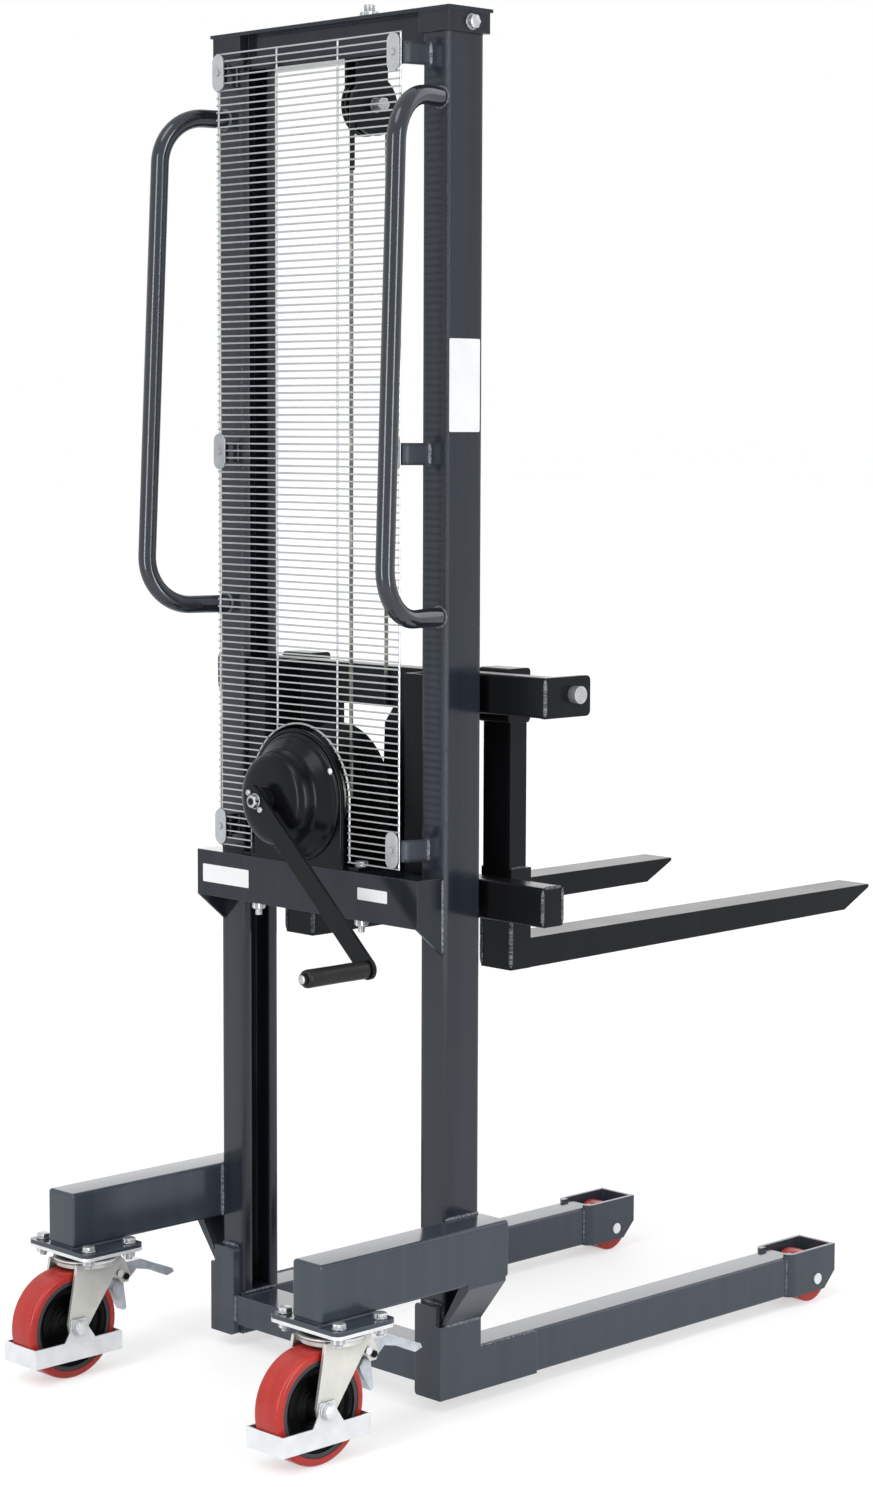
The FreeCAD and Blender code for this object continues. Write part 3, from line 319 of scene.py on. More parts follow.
def smooth_group():
    """Modifier that joins split points and shades all but sharp edges smooth."""
    group = bpy.data.node_groups.new("smooth_by_angle", "GeometryNodeTree")
    for way in ("INPUT", "OUTPUT"):
        group.interface.new_socket("Geometry", in_out=way, socket_type="NodeSocketGeometry")
    new = group.nodes.new
    link = group.links.new
    start = new("NodeGroupInput")
    join = new("GeometryNodeMergeByDistance")
    join.inputs["Distance"].default_value = JOIN_GAP
    angle = new("GeometryNodeInputMeshEdgeAngle")
    test = new("FunctionNodeCompare")
    test.operation = "LESS_THAN"
    test.inputs[1].default_value = SMOOTH_ANGLE
    faces = new("GeometryNodeSetShadeSmooth")
    edges = new("GeometryNodeSetShadeSmooth")
    edges.domain = "EDGE"
    end = new("NodeGroupOutput")
    link(start.outputs[0], join.inputs[0])
    link(join.outputs[0], faces.inputs[0])
    link(faces.outputs[0], edges.inputs[0])
    link(angle.outputs[0], test.inputs[0])
    link(test.outputs[0], edges.inputs["Shade Smooth"])
    link(edges.outputs[0], end.inputs[0])
    return group


SMOOTH = smooth_group()


def shade(obj):
    obj.modifiers.new("smooth_by_angle", "NODES").node_group = SMOOTH


def frame_along(points):
    """Unit directions and a side vector carried along a path without twist."""
    ways = []
    for k in range(len(points)):
        a = points[max(0, k - 1)]
        b = points[min(len(points) - 1, k + 1)]
        ways.append((b - a).normalized())
    side = ways[0].orthogonal().normalized()
    sides = []
    for way in ways:
        side = (side - way * side.dot(way)).normalized()
        sides.append(side)
    return ways, sides


def square_to(axis):
    """Two unit vectors square to a unit axis and to each other."""
    side = axis.orthogonal().normalized()
    return side, axis.cross(side)


def turned(side, up, angle):
    return side * math.cos(angle) + up * math.sin(angle)


def circle(centre, side, up, radius, count):
    """Points in metres round a centre; radius in millimetres."""
    return [centre + turned(side, up, 2 * math.pi * j / count) * (radius / 1000) for j in range(count)]


class Build:
    """Collects simple forms into one mesh piece. Lengths are in millimetres."""

    def __init__(self):
        self.points = []
        self.faces = []

    def rings(self, rings, joined=False):
        """Skin over rings of equal count, capped, or joined last to first."""
        base = len(self.points)
        n = len(rings[0])
        rows = len(rings)
        for ring in rings:
            self.points += ring
        for k in range(rows if joined else rows - 1):
            p = base + k * n
            q = base + (k + 1) % rows * n
            for j in range(n):
                i = (j + 1) % n
                self.faces.append((p + j, p + i, q + i, q + j))
        if not joined:
            self.faces.append(tuple(base + j for j in reversed(range(n))))
            self.faces.append(tuple(base + (rows - 1) * n + j for j in range(n)))
        return self

    def tube(self, path, radius, sides=8, joined=False):
        """Round rod along a path in metres; one radius or a list of them."""
        ways, normals = frame_along(path)
        radii = radius if isinstance(radius, list) else [radius] * len(path)
        return self.rings([circle(p, side, way.cross(side), r, sides)
                           for p, way, side, r in zip(path, ways, normals, radii)], joined)

    def lathe(self, profile, centre, axis, sides=64, closed=False):
        """Turned form: profile holds (along, radius); axis is a unit vector."""
        side, up = square_to(axis)
        return self.rings([circle(centre + axis * (along / 1000), side, up, r, sides)
                           for along, r in profile], closed)

    def hexhead(self, centre, axis, flats, height, washer, washer_t, turn=0.0):
        """Hexagon head with a chamfered top on a washer."""
        side, up = square_to(axis)
        e = WASHER_EDGE
        self.lathe([(0, washer - e), (e, washer), (washer_t - e, washer), (washer_t, washer - e)],
                   centre, axis, WASHER_STEPS)

        def ring(share, radius, roundness):
            out = []
            middle = centre + axis * ((washer_t + height * share) / 1000)
            for j in range(HEX_STEPS):
                t = 2 * math.pi * j / HEX_STEPS
                hexed = flats / 2 / math.cos((t + math.pi / 6) % (math.pi / 3) - math.pi / 6)
                size = min(radius, hexed * (1 - roundness) + radius * roundness)
                out.append(middle + turned(side, up, t + turn) * (size / 1000))
            return out
        corner = flats / math.sqrt(3)
        return self.rings([ring(0, corner, 0), ring(HEX_SHOULDER, corner, 0),
                           ring(HEX_CHAMFER, flats * HEX_CHAMFER_R, 0), ring(1, flats * HEX_TOP_R, 1)])

    def weld(self, a, b, radius):
        """Rippled bead between two places in metres."""
        length = (b - a).length * 1000
        count = max(4, int(length / RIPPLE) * 3)
        path = []
        radii = []
        for k in range(count + 1):
            t = k / count
            path.append(a.lerp(b, t))
            ripple = abs(math.sin(math.pi * t * length / RIPPLE))
            end = min(1.0, BEAD_END + (1 - BEAD_END) * min(t, 1 - t) * length / radius / 2)
            swell = BEAD_LOW + (1 - BEAD_LOW) * ripple + RNG.uniform(-BEAD_STRAY, BEAD_STRAY)
            radii.append(radius * swell * end)
        return self.tube(path, radii)

    def weld_ring(self, centre, axis, ring_r, radius):
        """Rippled bead round a tube's end."""
        count = int(2 * math.pi * ring_r / RING_STEP)
        path = circle(centre, *square_to(axis), ring_r, count)
        radii = []
        for k in range(count):
            ripple = abs(math.sin(k * RING_RIPPLE))
            swell = RING_LOW + (1 - RING_LOW) * ripple + RNG.uniform(-RING_STRAY, RING_STRAY)
            radii.append(radius * swell)
        return self.tube(path, radii, RING_SIDES, joined=True)

    def make(self, name, material, body, slot, replaces=(), blend=None):
        mesh = bpy.data.meshes.new(name)
        mesh.from_pydata([tuple(p) for p in self.points], [], self.faces)
        mesh.validate()
        work = bmesh.new()
        work.from_mesh(mesh)
        bmesh.ops.recalc_face_normals(work, faces=work.faces)
        work.to_mesh(mesh)
        work.free()
        obj = bpy.data.objects.new(name, mesh)
        bpy.context.scene.collection.objects.link(obj)
        mesh.materials.append(material)
        shade(obj)
        if blend:
            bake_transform(obj)
        else:
            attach(obj, body)
        if replaces:
            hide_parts(*replaces)


def eased(profile, times):
    """Rounds the corners of a profile by cutting them again and again."""
    pts = list(profile)
    for _ in range(times):
        out = [pts[0]]
        for (a, r), (b, q) in zip(pts, pts[1:]):
            out.append((a * 0.75 + b * 0.25, r * 0.75 + q * 0.25))
            out.append((a * 0.25 + b * 0.75, r * 0.25 + q * 0.75))
        pts = out + [pts[-1]]
    return pts


# CAD nodes keep their shape and take their own finish, or their slot's

def dress_nodes():
    slot_of = {entry["node"]: entry["material_slot"] for entry in frame["record"]["subparts"]}
    for name, obj in NODES.items():
        obj.data.materials.clear()
        family = name.split("_")[0]
        obj.data.materials.append(LOOKS.get(name) or LOOKS.get(family) or SLOTS[slot_of[name]])
        shade(obj)


dress_nodes()


# floor, light and camera: floor and strips in metres, the camera's place in millimetres, angles in degrees

WHITE = (1.0, 1.0, 1.0, 1.0)
FLOOR_HALF = 60
FLOOR_LIFT = 0.54
AMBIENT = 0.5
# suns: name, direction they shine from, strength, spread
LAMPS = (("key", (-0.7, -0.2, 1.0), 0.75, 30), ("rim", (0.67, 0.72, 0.26), 0.2, 30),
         ("front", (1.0, -0.3, 0.5), 0.4, 40))
# tall soft boxes round the object: name, bearing
STRIPS = (("rear_strip", 190), ("side_strip", 269))
STRIP_POWER = 50.0
STRIP_WIDE = 0.5
STRIP_TALL = 2.8
STRIP_FOOT = 0.1
STRIP_OFF = 3.2
CAMERA_PLACE = (-3054.1, -3360.8, 1406.5)
CAMERA_SENSOR = 36.0
CAMERA_LENS = 75.35
CAMERA_YAW = 45.77
CAMERA_PITCH = -5.75
CAMERA_ROLL = -0.19
CAMERA_REACH = 200


def shown_rays(n):
    """1 for the rays that see the white background: camera, glossy and transmission."""
    ray = n.add("LightPath").outputs
    mirrored = n.math("MAXIMUM", ray["Is Glossy Ray"], ray["Is Transmission Ray"])
    return n.math("MAXIMUM", ray["Is Camera Ray"], mirrored)


def make_stage():
    mesh = bpy.data.meshes.new("floor")
    f = FLOOR_HALF
    mesh.from_pydata([(-f, -f, 0), (f, -f, 0), (f, f, 0), (-f, f, 0)], [], [(0, 1, 2, 3)])
    floor = bpy.data.objects.new("floor", mesh)
    bpy.context.scene.collection.objects.link(floor)
    n = material_nodes("pale_floor")
    tone = n.mix(n.noise(0.8, 3), linear(198, 198, 198), linear(204, 204, 204))
    lift = n.math("MULTIPLY", shown_rays(n), FLOOR_LIFT)
    mesh.materials.append(n.finish(Base_Color=tone, Roughness=0.7, Specular_IOR_Level=0.2,
                                   Emission_Color=WHITE, Emission_Strength=lift))


def make_world():
    world = bpy.data.worlds.new("studio")
    bpy.context.scene.world = world
    n = Nodes(world)
    ambient = n.add("Background", Color=WHITE, Strength=AMBIENT)
    shown = n.add("Background", Color=WHITE, Strength=1.0)
    either = n.add("MixShader")
    for k, value in enumerate((shown_rays(n), ambient.outputs[0], shown.outputs[0])):
        n.plug(value, either.inputs[k])
    n.add("OutputWorld", Surface=either.outputs[0])


def add_lamp(name, kind):
    lamp = bpy.data.lights.new(name, kind)
    obj = bpy.data.objects.new(name, lamp)
    bpy.context.scene.collection.objects.link(obj)
    return lamp, obj


def make_lamps():
    for name, place, strength, spread in LAMPS:
        lamp, obj = add_lamp(name, "SUN")
        lamp.energy = strength
        lamp.angle = math.radians(spread)
        obj.rotation_euler = Vector(place).to_track_quat("Z", "Y").to_euler()
    for name, bearing in STRIPS:
        lamp, obj = add_lamp(name, "AREA")
        lamp.shape = "RECTANGLE"
        lamp.size = STRIP_WIDE
        lamp.size_y = STRIP_TALL
        lamp.energy = STRIP_POWER
        turn = math.radians(bearing)
        out = Vector((math.cos(turn), math.sin(turn), 0))
        obj.location = at(0, 0, 0) + out * STRIP_OFF + UP * (STRIP_FOOT + STRIP_TALL / 2)
        obj.rotation_euler = (math.radians(90), 0, math.radians(bearing + 90))
        obj.visible_camera = False


def make_camera():
    data = bpy.data.cameras.new("camera")
    data.sensor_fit = "VERTICAL"
    data.sensor_height = CAMERA_SENSOR
    data.lens = CAMERA_LENS
    data.clip_end = CAMERA_REACH
    camera = bpy.data.objects.new("camera", data)
    camera.location = at(*CAMERA_PLACE)
    camera.rotation_mode = "XYZ"
    camera.rotation_euler = [math.radians(a) for a in (90 + CAMERA_PITCH, CAMERA_ROLL, CAMERA_YAW - 90)]
    bpy.context.scene.collection.objects.link(camera)
    bpy.context.scene.camera = camera


make_stage()
make_world()
make_lamps()
make_camera()
bpy.context.scene.view_settings.view_transform = "Standard"


# mesh guard: round wires welded where they cross, with an arch round the winch

WINCH_Y = 16.0
WINCH_Z = 873.0
GUARD_X = -45.2
GUARD_BACK = 2.4
GUARD_HALF = 194.0
GUARD_BAR = 65.0
GUARD_Z0 = 787.0
GUARD_Z1 = 1953.0
GUARD_PITCH = 10.5
GUARD_R = 1.25
GUARD_BAR_R = 1.5
GUARD_RIM_R = 1.75
GUARD_ARCH = 107.0
GUARD_OVER = 1.5
GUARD_LAP = 1.0


def arch_half(z):
    """Half width of the opening round the winch at a height, or None above it."""
    rise = max(0.0, z - WINCH_Z)
    return math.sqrt(GUARD_ARCH ** 2 - rise ** 2) if rise < GUARD_ARCH else None


def arch_path(x, r, foot, steps):
    """Half circle round the winch's axis with straight legs down to a height."""
    path = [at(x, WINCH_Y - r, foot)]
    for k in range(steps + 1):
        t = math.pi * (1 - k / steps)
        path.append(at(x, WINCH_Y + r * math.cos(t), WINCH_Z + r * math.sin(t)))
    return path + [at(x, WINCH_Y + r, foot)]


def make_guard():
    b = Build()
    count = round((GUARD_Z1 - GUARD_Z0) / GUARD_PITCH)
    end = GUARD_HALF + GUARD_OVER
    for k in range(count + 1):
        z = GUARD_Z0 + (GUARD_Z1 - GUARD_Z0) * k / count
        half = arch_half(z)
        spans = [(-end, end)]
        if half is not None:
            half -= GUARD_LAP
            spans = [(-end, WINCH_Y - half), (WINCH_Y + half, end)]
        for y0, y1 in spans:
            b.tube([at(GUARD_X, y0, z), at(GUARD_X, y1, z)], GUARD_R)
    x = GUARD_X + GUARD_BACK
    foot = GUARD_Z0 - GUARD_OVER
    for y in (-GUARD_HALF, -GUARD_BAR, GUARD_BAR, GUARD_HALF):
        low = foot
        if abs(y - WINCH_Y) < GUARD_ARCH:
            low = WINCH_Z + math.sqrt(GUARD_ARCH ** 2 - (y - WINCH_Y) ** 2) - GUARD_LAP
        b.tube([at(x, y, low), at(x, y, GUARD_Z1 + GUARD_OVER)], GUARD_BAR_R)
    b.tube(arch_path(x, GUARD_ARCH, foot, 48), GUARD_RIM_R)
    b.make("guard_wires", WIRE, "frame", "mesh", ("guard_mesh",))


make_guard()


# wire rope: six strands laid round the CAD line

ROPE_Y = -38.5
PULLEY_X = 43.5
PULLEY_Z = 1869.5
PULLEY_R = 35.0
ROPE_END = 1045.0
ROPE_STEP = 4.0
BEND_STEPS = 28
DRUM_LINE_R = 54.0
LAY = 6.5
TURNS = 5
TURN_STEPS = 84
STRANDS = 6
STRAND_OFF = 2.04
STRAND_R = 1.14
STRAND_SIDES = 5
STRAND_LAY = 34.0


def strands(line):
    """Helical strands round a finely stepped line in metres."""
    b = Build()
    ways, sides = frame_along(line)
    run = [0.0]
    for p, q in zip(line, line[1:]):
        run.append(run[-1] + (q - p).length * 1000)
    for k in range(STRANDS):
        path = []
        for p, way, side, s in zip(line, ways, sides, run):
            angle = 2 * math.pi * (s / STRAND_LAY + k / STRANDS)
            path.append(p + turned(side, way.cross(side), angle) * (STRAND_OFF / 1000))
        b.tube(path, STRAND_R, STRAND_SIDES)
    return b


def straight(a, b):
    count = max(2, int((b - a).length * 1000 / ROPE_STEP))
    return [a.lerp(b, k / count) for k in range(count + 1)]


def make_ropes():
    rear = PULLEY_X - PULLEY_R
    front = PULLEY_X + PULLEY_R
    rise = straight(at(rear, ROPE_Y, WINCH_Z), at(rear, ROPE_Y, PULLEY_Z))
    for k in range(1, BEND_STEPS + 1):
        t = math.pi * (1 - k / BEND_STEPS)
        rise.append(at(PULLEY_X + PULLEY_R * math.cos(t), ROPE_Y, PULLEY_Z + PULLEY_R * math.sin(t)))
    strands(rise).make("rope_rising", ROPE, "frame", "rope", ("rope_rear",))
    top = at(front, ROPE_Y, PULLEY_Z)
    end = at(front, ROPE_Y, ROPE_END)
    strands(straight(top, end)).make(
        "rope_falling", ROPE, None, "rope", ("rope_front",), ("frame", "carriage", top, end))
    coil = []
    start = rear - LAY - LAY * TURNS
    for k in range(TURNS * TURN_STEPS + 1):
        t = 2 * math.pi * k / TURN_STEPS
        coil.append(at(start + LAY * k / TURN_STEPS, WINCH_Y - DRUM_LINE_R * math.cos(t),
                       WINCH_Z + DRUM_LINE_R * math.sin(t)))
    strands(coil).make("rope_coil", ROPE, "drum", "rope", ("rope_turns",))


make_ropes()


# winch: pressed cover with its rim and screws, crank fittings and grip; profiles hold (along, radius)

WINCH_REAR = -50.0
COVER = ((0, 94), (3.1, 94), (5, 90), (11.8, 87), (19, 79), (25.2, 72), (38.1, 70), (47, 67), (52.9, 60.2),
         (55.4, 46), (56, 18.8))
COVER_T = 3.0
COVER_END = 60.0
COVER_HUB = [(57, 15.6), (58, 15.2), (59.5, 15.1), (COVER_END, 14.4), (COVER_END, 8.1), (53, 8.1)]
LIP_X = WINCH_REAR - 0.4
LIP = 96.5
LIP_FOOT = 781.0
LIP_R = 1.6
SCREW = [(0, 5.2), (0.9, 5.2), (2.2, 4.1), (2.9, 2.2), (3.1, 0.4)]
SCREW_X = WINCH_REAR - 5.4
SCREW_OUT = 90.0
SCREW_ANGLES = (29, 151)
CRANK_FACE = -130.0
CRANK_DROP = math.radians(42.4)
CRANK_LEN = 320.0
CRANK_NUT_END = CRANK_FACE - 7.9
NUT_CENTRE = [(0, 5.2), (1.2, 5.2), (1.5, 4.6), (1.5, 0.3)]
STUD = [(0, 4.6), (2.2, 4.6), (3.4, 3.9), (4.1, 2.4), (4.3, 0.5)]
STUD_OUT = 17.0
GRIP_LEN = 115.0
GRIP_GAP = 0.4
GRIP_BORE = 6.05
GRIP_SHAPE = [(0, GRIP_BORE), (0, 9.4), (0.5, 11), (2, 12.4), (4.5, 13), (30, 12.9), (58, 12.75), (86, 12.9),
              (110.5, 13), (113, 12.4), (114.5, 11), (GRIP_LEN, 9.4), (GRIP_LEN, GRIP_BORE)]
PIN_HEAD = 5.0
PIN_RIVET = [(0, 6.4), (1.2, 6.4), (2.0, 5.6), (2.6, 3.6), (2.8, 0.4)]


def make_cover():
    outer = eased(COVER, 2)
    inner = [(max(0, p - COVER_T), r - COVER_T) for p, r in reversed(outer)]
    dome = Build().lathe(outer + COVER_HUB + inner, at(WINCH_REAR, WINCH_Y, WINCH_Z), BACK, 112, closed=True)
    dome.make("winch_dome", COVER_COAT, "frame", "black", ("winch_cover",))
    rim = Build().tube(arch_path(LIP_X, LIP, LIP_FOOT, 40), LIP_R, 10)
    rim.make("winch_rim", COVER_COAT, "frame", "black")
    screws = Build()
    for angle in SCREW_ANGLES:
        t = math.radians(angle)
        place = at(SCREW_X, WINCH_Y - SCREW_OUT * math.cos(t), WINCH_Z + SCREW_OUT * math.sin(t))
        screws.lathe(SCREW, place, BACK, 18)
    screws.make("cover_screws", ZINC, "frame", "zinc")


def along_crank(x, out):
    """Place on the crank's centre line, counted from its hub to the grip."""
    return at(x, WINCH_Y - out * math.cos(CRANK_DROP), WINCH_Z - out * math.sin(CRANK_DROP))


def make_crank():
    b = Build()
    b.hexhead(along_crank(CRANK_FACE, 0), BACK, 17.6, 6.6, washer=11.5, washer_t=1.4)
    for s in (-1, 1):
        b.lathe(STUD, along_crank(CRANK_FACE, s * STUD_OUT), BACK, 20)
    b.lathe(PIN_RIVET, along_crank(CRANK_FACE - GRIP_LEN - PIN_HEAD, CRANK_LEN), BACK, 28)
    b.make("crank_fittings", BOLT, "crank", "zinc")
    dark = Build().lathe(NUT_CENTRE, along_crank(CRANK_NUT_END, 0), BACK, 20)
    dark.make("crank_bolt_end", BLACK, "crank", "black")
    grip = Build().lathe(GRIP_SHAPE, along_crank(CRANK_FACE - GRIP_GAP, CRANK_LEN), BACK, 48, closed=True)
    grip.make("grip_sleeve", GRIP, "crank_grip", "grip", ("crank_grip",))


make_cover()
make_crank()


# wheels and rollers

ARM_Y = 274.0
WHEEL_X = -286.0
WHEEL_R = 80.0
TREAD_HALF = 25.0
TREAD_IN = 68.5
TREAD_ROUND = 6.0
# half section of the wheel centre, as (radius, half width)
CORE_SIDE = ((6.1, 29.5), (14.6, 29.5), (15.4, 28.6), (16.2, 20), (19, 14.6), (23.6, 13.4), (25, 11.6), (30, 10.6),
             (31.2, 9.2), (44, 8.6), (48, 12.6), (52, 14.2), (56, 19.6), (60.6, 21.4), (61.4, 23.2), (62, 23.6),
             (68.4, 23.6))
RIM_FACE = 23.5
RIM_RING = [(0, 61.8), (0, 68.3), (0.5, 68.3), (0.8, 67.8), (0.8, 62.4), (0.5, 61.8)]
BEARING_FACE = 29.5
BEARING_RING = [(0, 7.2), (0, 13.6), (0.3, 13.9), (0.45, 13.4), (0.45, 7.4)]
ROLLER_X = 833.0
ROLLER_Y = 220.5
ROLLER_R = 40.0
ROLLER_HALF = 26.0
ROLLER_IN = 24.0
ROLLER_ROUND = 4.0
ROLLER_BORE = 9.06
ROLLER_HUB = [(-ROLLER_HALF + 2, 22), (-ROLLER_HALF, 20), (-ROLLER_HALF, ROLLER_BORE), (ROLLER_HALF, ROLLER_BORE),
              (ROLLER_HALF, 20), (ROLLER_HALF - 2, 22)]
SHOULDER_STEPS = 6


def rounded_band(half, outer, inner, r):
    """Closed section of a tyre with rounded shoulders, as (across, radius)."""
    one = []
    for k in range(SHOULDER_STEPS + 1):
        t = math.pi / 2 * k / SHOULDER_STEPS
        one.append((-half + r - r * math.cos(t), outer - r + r * math.sin(t)))
    return [(-half, inner)] + one + [(-p, q) for p, q in reversed(one)] + [(half, inner)]


def both_faces(ring, centre, face, sides):
    """The same ring on both faces of a wheel."""
    b = Build()
    for q in (1, -1):
        b.lathe(ring, centre + ACROSS * (q * face / 1000), ACROSS * q, sides, closed=True)
    return b


def make_wheel(side, s):
    axle = at(WHEEL_X, s * ARM_Y, WHEEL_R)
    body = "wheel_" + side
    band = rounded_band(TREAD_HALF, WHEEL_R, TREAD_IN, TREAD_ROUND)
    tyre = Build().lathe(band, axle, ACROSS, 120, closed=True)
    tyre.make("tyre_" + side, RED, body, "red", ("wheel_tread_" + side,))
    shape = [(-w, r) for r, w in CORE_SIDE] + [(w, r) for r, w in reversed(CORE_SIDE)]
    hub = Build().lathe(shape, axle, ACROSS, 96, closed=True)
    hub.make("hub_" + side, CORE, body, "core", ("wheel_core_" + side,))
    both_faces(RIM_RING, axle, RIM_FACE, 96).make("rim_" + side, RIM, body, "core")
    both_faces(BEARING_RING, axle, BEARING_FACE, 40).make("bearing_" + side, STEEL, body, "steel")


def make_roller(side, s):
    band = rounded_band(ROLLER_HALF, ROLLER_R, ROLLER_IN, ROLLER_ROUND)
    roller = Build().lathe(band + list(reversed(ROLLER_HUB)), at(ROLLER_X, s * ROLLER_Y, ROLLER_R), ACROSS, 80,
                           closed=True)
    roller.make("roller_" + side, RED, "front_roller_" + side, "red", ("front_roller_" + side,))


for side, s in SIDES:
    make_wheel(side, s)
    make_roller(side, s)


# fasteners: heads and washers over the plain CAD bolts, thread ends, caster cups, and black discs of painted shade
# at the pedal pins

SWIVEL_X = -243.0
PLATE_LOW = 186.0
PLATE_TOP = 197.0
PLATE_BOLTS = [(i * 38.0, j * 55.0) for i in (-1, 1) for j in (-1, 1)]
PLATE_THREAD = [(0, 5.1), (13.0, 5.1), (13.8, 4.3)]
CAP_BOLT = (38.0, 251.0, 1969.0)
SHELF_BOLT_X = -25.0
SHELF_BOLT_OUT = 113.0
SHELF_BOLT_TOP = 780.0
SHELF_BOLT_LOW = 706.0
SHELF_THREAD = [(0, 5.1), (21.6, 5.1), (22.4, 4.2)]
PULLEY_CHEEK = 13.5
PULLEY_HEAD = {1: 7, -1: 17}
HANGER_TOP = 1989.0
THREADS = 10
CROWN_Z = 172.6
UPPER_CUP = [(0, 42.1), (0, 47.5), (1.4, 48.6), (3.2, 48.2), (4.4, 46.2), (4.9, 43.2), (4.9, 42.1)]
LOWER_CUP = [(-2.0, 42.6), (-2.0, 47.0), (1.0, 49.2), (2.8, 49.2), (4.0, 47.2), (4.6, 44.2), (4.6, 42.6)]
# black ring in the gap between the swivel cups, as (along, radius): painted shade of the gap
RACE_GAP_SHADE = [(4, 42.4), (4, 45.2), (9, 45.2), (9, 42.4)]
GUARD_FACE = 37.5
AXLE_END = [(0, 6.1), (7.4, 6.1), (8.4, 5.2)]
AXLE_TURN = 0.3
EAR_FACE = 18.0
EAR_BOLT_X = -196.0
EAR_BOLT_Z = 142.0
PEDAL_X = -182.0
PEDAL_Z = 134.0
PEDAL_PIN = 19.0
# black disc at each end of the pedal's pin, as (along, radius): painted shade of a dark hole
PIN_HOLE_SHADE = [(0, 5.0), (1.6, 5.0), (2.2, 4.2), (2.2, 0.3)]


def make_frame_bolts():
    b = Build()
    for _, s in SIDES:
        for dx, dy in PLATE_BOLTS:
            x = SWIVEL_X + dx
            y = s * ARM_Y + dy
            b.hexhead(at(x, y, PLATE_TOP), UP, 17.4, 6.4, washer=10.4, washer_t=1.8, turn=dx)
            b.hexhead(at(x, y, PLATE_LOW), -UP, 17.4, 8.4, washer=10, washer_t=1.2, turn=dy)
            b.lathe(PLATE_THREAD, at(x, y, PLATE_LOW), -UP, 16)
        cap_x, cap_y, cap_z = CAP_BOLT
        b.hexhead(at(cap_x, s * cap_y, cap_z), ACROSS * s, 17.4, 7, washer=11.3, washer_t=2.2)
        y = WINCH_Y + s * SHELF_BOLT_OUT
        b.hexhead(at(SHELF_BOLT_X, y, SHELF_BOLT_TOP), UP, 17.4, 6.4, washer=11, washer_t=1.4)
        b.hexhead(at(SHELF_BOLT_X, y, SHELF_BOLT_LOW), -UP, 17.4, 10.6, washer=12, washer_t=2.2)
        b.lathe(SHELF_THREAD, at(SHELF_BOLT_X, y, SHELF_BOLT_LOW), -UP, 16)
        b.hexhead(at(PULLEY_X, ROPE_Y + s * PULLEY_CHEEK, PULLEY_Z), ACROSS * s, 18.4, PULLEY_HEAD[s],
                  washer=11, washer_t=1.2)
    top = at(PULLEY_X, ROPE_Y, HANGER_TOP)
    b.hexhead(top, UP, 24.4, 11.2, washer=16, washer_t=2.2)
    thread = [(0, 8.1)]
    for k in range(THREADS):
        thread += [(1 + 2 * k, 8.3), (2 + 2 * k, 7.5)]
    b.lathe(thread + [(22.6, 7.2), (23.2, 6.2)], top, UP, 24)
    b.make("frame_bolts", BOLT, "frame", "zinc")


def make_caster_fittings(side, s):
    y = s * ARM_Y
    crown = at(SWIVEL_X, y, CROWN_Z)
    swivel = "swivel_" + side
    cup = Build().lathe(UPPER_CUP, at(SWIVEL_X, y, PLATE_LOW), -UP, 64, closed=True)
    cup.make("upper_cup_" + side, ZINC, "frame", "zinc")
    low = Build().lathe(LOWER_CUP, crown, UP, 64, closed=True)
    ear = Build()
    plug = Build()
    for q in (1, -1):
        out = ACROSS * q
        face = at(WHEEL_X, y + q * GUARD_FACE, WHEEL_R)
        low.hexhead(face, out, 18.4, 6.6, washer=13, washer_t=1.6, turn=AXLE_TURN * q)
        low.lathe(AXLE_END, face, out, 18)
        ear.hexhead(at(EAR_BOLT_X, y + q * EAR_FACE, EAR_BOLT_Z), out, 11, 5.2, washer=7.4, washer_t=1.2)
        # black discs at the pedal's pin: painted shade of dark holes
        plug.lathe(PIN_HOLE_SHADE, at(PEDAL_X, y + q * PEDAL_PIN, PEDAL_Z), out, 24)
    low.make("swivel_fittings_" + side, ZINC, swivel, "zinc")
    # black ring filling the gap between the cups: painted shade of the gap
    gap_shade = Build().lathe(RACE_GAP_SHADE, crown, UP, 64, closed=True)
    gap_shade.make("race_gap_shade_" + side, CORE, swivel, "core")
    ear.make("ear_bolts_" + side, ZINC, swivel, "zinc")
    plug.make("pedal_hole_shades_" + side, CORE, "pedal_" + side, "core")


make_frame_bolts()
for side, s in SIDES:
    make_caster_fittings(side, s)


# weld beads, painted over; each row is start, end and radius on the left side

BASE_BEADS = (
    ((-1.2, 243, 199), (-1.2, 243, 278), 3.4),           # arm at the mast's rear
    ((2, 245, 280.6), (68, 245, 280.6), 3.2),            # arm's top at the mast
    ((70.5, 244, 199), (70.5, 244, 278), 3.2),           # arm at the mast's front
    ((-6, 253.5, 128.5), (64, 253.5, 128.5), 3.6),       # foot of the brace
    ((-6, 300, 196), (64, 300, 196), 3.2),               # top of the brace
    ((-0.6, 207, 156.4), (-0.6, 242, 156.4), 3.4),       # foot plate's top
    ((-1.4, 243.4, 104), (-1.4, 243.4, 154), 2.6),       # foot plate's edge
    ((68, 250.6, 84), (182, 250.6, 84), 2.8),            # side plate along the leg
    ((184.4, 250.6, 22), (184.4, 250.6, 80), 1.8),       # side plate's front
    ((-12.2, 200.8, 40), (-12.2, 200.8, 82), 3.0),       # end of the cross beam
    ((-0.8, 239.4, 668), (-0.8, 239.4, 772), 2.8),       # end of the shelf
    ((2, 194.6, 85.2), (66, 194.6, 85.2), 2.6),          # mast on the leg
)
